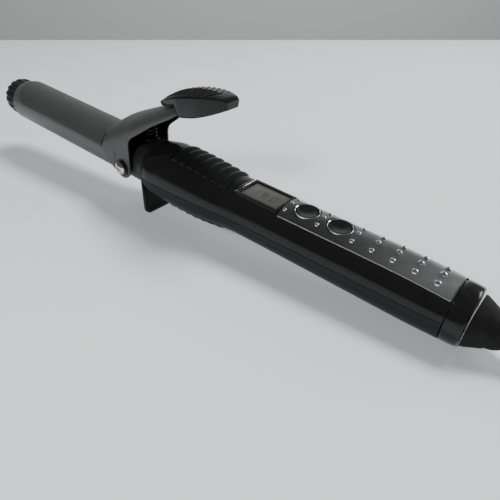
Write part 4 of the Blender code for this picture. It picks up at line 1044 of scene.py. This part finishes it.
def make_pivot():
    """The clip's two cross-head screws and their washers."""
    centre = (PIVOT.x, 0, PIVOT.z)
    for side, name in ((1, "left"), (-1, "right")):
        head = [(side * across, radius, fillet) for across, radius, fillet in SCREW_PROFILE]
        screw = add_piece(f"{name}_screw", turned(head, 64, centre, "Y"), NICKEL, "clip",
                          replaces=(f"pivot_screw_{name}",))
        near, far = sorted((side * CROSS_Y0, side * CROSS_Y1))
        for along, up in ((CROSS_LONG, CROSS_THIN), (CROSS_THIN, CROSS_LONG)):
            carve(screw, box_shape((PIVOT.x - along, near, PIVOT.z - up),
                                   (PIVOT.x + along, far, PIVOT.z + up)))
        ring = [(side * across, radius, fillet) for across, radius, fillet in WASHER_PROFILE]
        add_piece(f"{name}_washer", turned(ring, 64, centre, "Y"), BLACK_STEEL, "clip",
                  replaces=(f"pivot_washer_{name}",))


def arc_wall(x0, x1, half_angle, r0, r1):
    """A stretch of tube wall either side of the top."""
    angles = [math.radians(90 - half_angle + 2 * half_angle * i / 32) for i in range(33)]
    outline = [(r1 * math.cos(a), r1 * math.sin(a)) for a in angles]
    outline += [(r0 * math.cos(a), r0 * math.sin(a)) for a in reversed(angles)]
    return lofted([[(x, y, z) for y, z in outline] for x in (x0, x1)])


SPRING_X, SPRING_R, SPRING_WIRE_R = 121.2, 2.9, 0.45
SPRING_Z0, SPRING_TALL, SPRING_TURNS, TURN_POINTS = 16.0, 12.3, 6, 36


def make_spring():
    """The coil spring between the barrel and the lever, and the saddle that it stands on."""
    boss = turned(((13.6, 0.0), (13.6, 4.4), (15.25, 4.4, 0.3), (15.25, 0.0)), 48, (SPRING_X, 0, 0), "Z")
    tongue = arc_wall(116.2, 126.7, 30.0, 12.8, 14.1)
    band = arc_wall(112.4, 116.8, 52.0, 12.83, 14.15)
    saddle = joined(tongue, band, boss)
    soften(add_piece("saddle", saddle, SATIN, replaces=("spring_saddle",)), 0.2)
    curve = bpy.data.curves.new("coil_spring", "CURVE")
    curve.dimensions = "3D"
    curve.bevel_depth = SPRING_WIRE_R * MM
    curve.bevel_resolution = 5
    curve.use_fill_caps = True
    spline = curve.splines.new("POLY")
    count = SPRING_TURNS * TURN_POINTS
    spline.points.add(count)
    for i, point in enumerate(spline.points):
        angle = 2 * math.pi * i / TURN_POINTS
        place = TOOL @ Vector((SPRING_X + SPRING_R * math.cos(angle), SPRING_R * math.sin(angle),
                               SPRING_Z0 + SPRING_TALL * i / count))
        point.co = (*place, 1.0)
    line = bpy.data.objects.new("spring line", curve)
    bpy.context.scene.collection.objects.link(line)
    shown = line.evaluated_get(bpy.context.evaluated_depsgraph_get())
    mesh = bpy.data.meshes.new_from_object(shown)
    bpy.data.objects.remove(line)
    mesh.shade_smooth()
    mesh.materials.clear()
    mesh.materials.append(BLACK_STEEL)
    spring = bpy.data.objects.new("coil_spring", mesh)
    bpy.context.scene.collection.objects.link(spring)
    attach(spring, "tool")
    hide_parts("clip_spring")
    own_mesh(spring)


# ---- display, panel and buttons -------------------------------------------------------------
SEGMENTS = {"1": "bc", "8": "abcdefg", "0": "abcdef"}
DIGITS = (("1", 194.2), ("8", 199.4), ("0", 204.6))
DIGIT_Y, DIGIT_WIDE, DIGIT_TALL, DIGIT_BAR = -0.6, 2.2, 4.6, 0.42
MARK_XS, MARK_LEN, MARK_Y0, MARK_Y1 = (192.4, 196.8, 201.2, 205.6), 1.6, 4.1, 5.0
INK_T = 0.03                                # the segments' thickness
FRAME_RIM, FRAME_DEEP = 2.0, 2.6
FACE_DROP, FACE_T = 0.5, 1.1                # the face lies this far below the frame's top


def digit_shapes(text, x, z):
    """Seven-segment bars round x, with the digit's foot towards -Y."""
    w, h = DIGIT_WIDE / 2, DIGIT_TALL / 4
    bars = {"a": (0, 2 * h, True), "g": (0, 0, True), "d": (0, -2 * h, True), "b": (w, h, False),
            "f": (-w, h, False), "c": (w, -h, False), "e": (-w, -h, False)}
    shapes = []
    for key in SEGMENTS[text]:
        dx, dy, flat = bars[key]
        half_x = w - DIGIT_BAR * 0.55 if flat else DIGIT_BAR / 2
        half_y = DIGIT_BAR / 2 if flat else h - DIGIT_BAR * 0.55
        shapes.append(box_shape((x + dx - half_x, DIGIT_Y + dy - half_y, z),
                                (x + dx + half_x, DIGIT_Y + dy + half_y, z + INK_T), 0.01, 1))
    return shapes


def make_display():
    """The display's frame, its face, what the face shows and the bright strip in front of it."""
    outline = box_shape((DISPLAY_X0, -DISPLAY_HALF, DISPLAY_TOP - FRAME_DEEP),
                        (DISPLAY_X1, DISPLAY_HALF, DISPLAY_TOP), 0.5)
    bezel = add_piece("display_frame", outline, POLISHED, replaces=("display_bezel",))
    carve(bezel, box_shape((DISPLAY_X0 + FRAME_RIM, -DISPLAY_HALF + FRAME_RIM, 5.0),
                           (DISPLAY_X1 - FRAME_RIM, DISPLAY_HALF - FRAME_RIM, 16.0)))
    soften(bezel, 0.25)
    seat = FRAME_RIM + GAP
    face_top = DISPLAY_TOP - FACE_DROP
    face = box_shape((DISPLAY_X0 + seat, -DISPLAY_HALF + seat, face_top - FACE_T),
                     (DISPLAY_X1 - seat, DISPLAY_HALF - seat, face_top), 0.2)
    add_piece("display_face", face, DISPLAY, replaces=("display_window",))
    z = face_top + 0.01
    digits = [shape for text, x in DIGITS for shape in digit_shapes(text, x, z)]
    marks = [box_shape((x, MARK_Y0, z), (x + MARK_LEN, MARK_Y1, z + INK_T), 0.01, 1) for x in MARK_XS]
    add_piece("display_digits", joined(*digits), SEGMENT)
    add_piece("display_marks", joined(*marks), GHOST)
    strip = box_shape((DISPLAY_X0 - 0.05, -DISPLAY_HALF + 0.5, DISPLAY_TOP - 0.25),
                      (DISPLAY_X0 + 0.45, DISPLAY_HALF - 0.5, DISPLAY_TOP + 0.12), 0.1)
    add_piece("display_trim", strip, CHROME)


STUD_XS = (214.1, 231.0, 248.0, 257.1, 266.3, 275.7, 285.0)
STUD_Y = 5.46
STUD_R, STUD_GROWTH, STUD_RISE = 0.95, 0.09, 0.75
RIM_WIDE = 0.3


def stud_shape(x, y, radius):
    """A low dome on the panel."""
    z = skin_at(x, y)
    dome = [(z - 0.3, 0.0), (z - 0.3, radius)]
    for k in range(5):
        angle = math.pi * k / 10
        dome.append((z + STUD_RISE * radius * math.sin(angle), radius * math.cos(angle)))
    return turned(dome + [(z + STUD_RISE * radius, 0.0)], 24, (x, y, 0.0), "Z")


def make_panel():
    """The brushed panel with its rim and studs, and the two buttons in their trims."""
    skin = skin_patch(stations(PANEL_X0, PANEL_X1, 1.6), PANEL_HALF, PANEL_T, 0.0)
    panel = add_piece("brushed_panel", skin, BRUSHED, replaces=("control_panel",))
    for x in BUTTON_XS.values():
        carve(panel, rod(OPENING_Z0, OPENING_Z1, TRIM_R + GAP, x))
    soften(panel, 0.12)
    edge = skin_patch(stations(PANEL_X1 - 0.45, PANEL_X1 + 0.02, 0.45), PANEL_HALF, 0.3, 0.16)
    near = skin_strip(PANEL_X0 + RIM_WIDE, PANEL_X1, -PANEL_HALF, -PANEL_HALF + RIM_WIDE)
    far = skin_strip(PANEL_X0 + RIM_WIDE, PANEL_X1, PANEL_HALF - RIM_WIDE, PANEL_HALF)
    add_piece("panel_rim", joined(edge, near, far), CHROME)
    studs = [stud_shape(x, y, STUD_R + STUD_GROWTH * i)
             for i, x in enumerate(STUD_XS) for y in (0.0, STUD_Y, -STUD_Y)]
    add_piece("panel_studs", joined(*studs), CHROME)
    trim_foot, cap_foot = BUTTON_TOP - 3.0, BUTTON_TOP - 3.6
    ring = ((trim_foot, TRIM_BORE), (trim_foot, TRIM_R), (BUTTON_TOP + 0.15, TRIM_R, 0.15),
            (BUTTON_TOP + 0.5, 5.7, 0.15), (BUTTON_TOP + 0.1, TRIM_BORE, 0.1), (trim_foot, TRIM_BORE))
    cap = ((STEM_Z, 0.0), (STEM_Z, STEM_R), (cap_foot, STEM_R), (cap_foot, CAP_R),
           (BUTTON_TOP - 0.2, CAP_R, 0.3), (BUTTON_TOP, 4.5, 0.5), (BUTTON_TOP - 0.55, 2.4, 1.5),
           (BUTTON_TOP - 0.9, 0.0))
    for name, x in BUTTON_XS.items():
        add_piece(f"{name}_trim", turned(ring, 96, (x, 0, 0), "Z"), CHROME,
                  replaces=(f"button_trim_{name}",))
        add_piece(f"{name}_cap", turned(cap, 96, (x, 0, 0), "Z"), POLISHED, f"{name}_button",
                  replaces=(f"button_{name}",))


# The end cap's stations, each with how far its skin lies inside the handle's.
CAP_STATIONS = ((CAP_X0, 0.25), (CAP_X0 + 0.3, 0.0), (296.0, 0.0), (298.2, 0.05), (299.2, 0.1), (299.9, 0.3),
                (CAP_X1, 0.7))
BOOT_PROFILE = ((301.0, 0.0), (301.0, 11.2, 0.2), (302.2, 11.0, 0.5), (308.2, 8.2, 0.4), (309.0, 7.5, 0.2),
                (310.4, 7.4, 0.5), (312.4, 6.6, 0.8), (314.4, 5.2, 0.8), (330.0, 4.8, 2.0),
                (STRAIN_END.x, 4.2, 0.4), (STRAIN_END.x, 0.0))


def cap_ring(x, inset, columns=96):
    """Outline of the end cap at x."""
    half, seam = HALF_WIDTH(x) - inset, split(x)
    ring = []
    for i in range(columns):
        angle = 2 * math.pi * i / columns
        end = (top(x) - inset - seam) if i < columns // 2 else (seam - BOTTOM(x) - inset)
        ring.append((x, half * math.cos(angle), seam + end * math.sin(angle)))
    return ring


def make_rear():
    """The handle's end cap and the turning strain relief behind it."""
    cap = lofted([cap_ring(x, inset) for x, inset in CAP_STATIONS])
    add_piece("rear_cap", cap, POLISHED, replaces=("rear_end_cap",), sharp=50)
    add_piece("boot", turned(BOOT_PROFILE, 96, (0, 0, SWIVEL_Z)), RUBBER, "swivel",
              replaces=("cord_strain_relief",), sharp=50)


TIE_HALF, TIE_OUT, TIE_CLEAR = 6.0, 0.7, 0.1
TIE_FOOT, TIE_BED = 0.05, 0.62              # heights of the tie's underside and of its inside


def make_plug(fold_x):
    """The plug and its blades; gives their names."""
    neck = fold_x + HANK_RUN - TAIL_RUN - 3 * GAP
    plug_z = CORD_FLOOR + PLUG_THICK / 2
    neck_end, body_start = PLUG_LEN * 0.3, PLUG_LEN * 0.55
    width = smooth_line(((0, PLUG_NECK), (neck_end, PLUG_NECK), (body_start, PLUG_HALF),
                         (PLUG_LEN, PLUG_HALF)))
    height = smooth_line(((0, PLUG_NECK), (neck_end, PLUG_NECK), (body_start, PLUG_THICK / 2),
                          (PLUG_LEN, PLUG_THICK / 2)))
    rings = []
    for along in stations(0.0, PLUG_LEN, 1.5):
        end = 1 - 0.05 * eased(along, PLUG_LEN - 2.0, PLUG_LEN)
        ring = []
        for i in range(64):
            c, s = math.cos(2 * math.pi * i / 64), math.sin(2 * math.pi * i / 64)
            ring.append((neck - along, HANK_Y + end * width(along) * math.copysign(abs(c) ** 0.6, c),
                         plug_z + end * height(along) * math.copysign(abs(s) ** 0.6, s)))
        rings.append(ring)
    body = add_piece("plug", lofted(rings), PLUG_RUBBER, replaces=("plug_body",),
                     place=WORLD, sharp=50)
    made = [body.name]
    tip = neck - PLUG_LEN - GAP
    for side, name in ((1, "left"), (-1, "right")):
        y = HANK_Y + side * BLADE_PITCH / 2
        bar = box_shape((tip - BLADE_LEN, y - BLADE_T / 2, plug_z - BLADE_WIDE / 2),
                        (tip, y + BLADE_T / 2, plug_z + BLADE_WIDE / 2), 0.3)
        blade = add_piece(f"{name}_blade", bar, BRASS, replaces=(f"plug_blade_{name}",), place=WORLD)
        made.append(blade.name)
    return made


def make_tie(fold_x):
    """The strap that holds the hank."""
    top_z = CORD_LOW + 2 * CORD_STEP + CORD_R
    half = HANK_FOLD_R + CORD_R
    middle = fold_x + HANK_RUN / 2
    block = box_shape((middle - TIE_HALF, HANK_Y - half - TIE_OUT, TIE_FOOT),
                      (middle + TIE_HALF, HANK_Y + half + TIE_OUT, top_z + TIE_OUT), 2.2, 5)
    strap = add_piece("cord_tie", block, RUBBER, place=WORLD)
    carve(strap, box_shape((middle - TIE_HALF - 3, HANK_Y - half - TIE_CLEAR, TIE_BED),
                           (middle + TIE_HALF + 3, HANK_Y + half + TIE_CLEAR, top_z + TIE_CLEAR), 1.7, 5),
                           WORLD)


# ---- table, wall and light ------------------------------------------------------------------
TABLE_NEAR, TABLE_WIDE = 1.2, 2.4           # metres that the table reaches behind the camera, and across
WALL_GAP, WALL_WIDE, WALL_LOW, WALL_TALL = 0.55, 5.0, -1.0, 3.0


def make_room():
    """The table and, beyond its far edge, the wall."""
    look = math.radians(CAMERA_TURN[2] + TABLE_TURN)
    ahead = Vector((-math.sin(look), math.cos(look), 0.0))
    aside = Vector((math.cos(look), math.sin(look), 0.0))
    ground = Vector((CAMERA_PLACE[0], CAMERA_PLACE[1], 0.0))
    reach = math.sqrt(TABLE_EDGE ** 2 - CAMERA_PLACE[2] ** 2)

    def table_place(u, v):
        return ground + ahead * (-TABLE_NEAR + (TABLE_NEAR + reach) * v) + aside * (TABLE_WIDE * (u - 0.5))

    def wall_place(u, v):
        return (ground + ahead * (reach + WALL_GAP) + aside * (WALL_WIDE * (u - 0.5))
                + Vector((0, 0, WALL_LOW + WALL_TALL * v)))

    for name, place, material in (("table", table_place, TABLE), ("wall", wall_place, WALL_PAINT)):
        mesh = bpy.data.meshes.new(name)
        shape = sheet(8, 8, place)
        shape.to_mesh(mesh)
        shape.free()
        mesh.materials.append(material)
        plane = bpy.data.objects.new(name, mesh)
        bpy.context.scene.collection.objects.link(plane)


def light_room():
    """A hard lamp from the front, two soft ones from above and behind, and a dim sky."""
    add_light("key", (0.12, -0.85, 0.68), (0.0, 0.0, 0.03), 0.20, 12.0, mirrored=False)
    add_light("overhead", (0.10, 0.45, 1.00), (0.0, 0.0, 0.0), 0.5, 18.0, 0.35, mirrored=False)
    add_light("window", (0.60, 0.95, 0.55), (0.05, 0.0, 0.02), 0.5, 5.0, 0.35)
    sky = bpy.data.worlds.new("room")
    sky.use_nodes = True
    background = sky.node_tree.nodes["Background"]
    background.inputs["Color"].default_value = (0.78, 0.79, 0.80, 1.0)
    background.inputs["Strength"].default_value = 0.13
    bpy.context.scene.world = sky


# ---- the whole model ------------------------------------------------------------------------
make_camera()
finish_cad_nodes()
cord, cord_exit, cord_length, fold_x = make_cord()
make_barrel()
make_clip()
make_pad()
make_pivot()
make_spring()
make_shells()
make_grips()
make_collar()
make_display()
make_panel()
make_rear()
plug_pieces = make_plug(fold_x)
make_tie(fold_x)
make_room()
light_room()
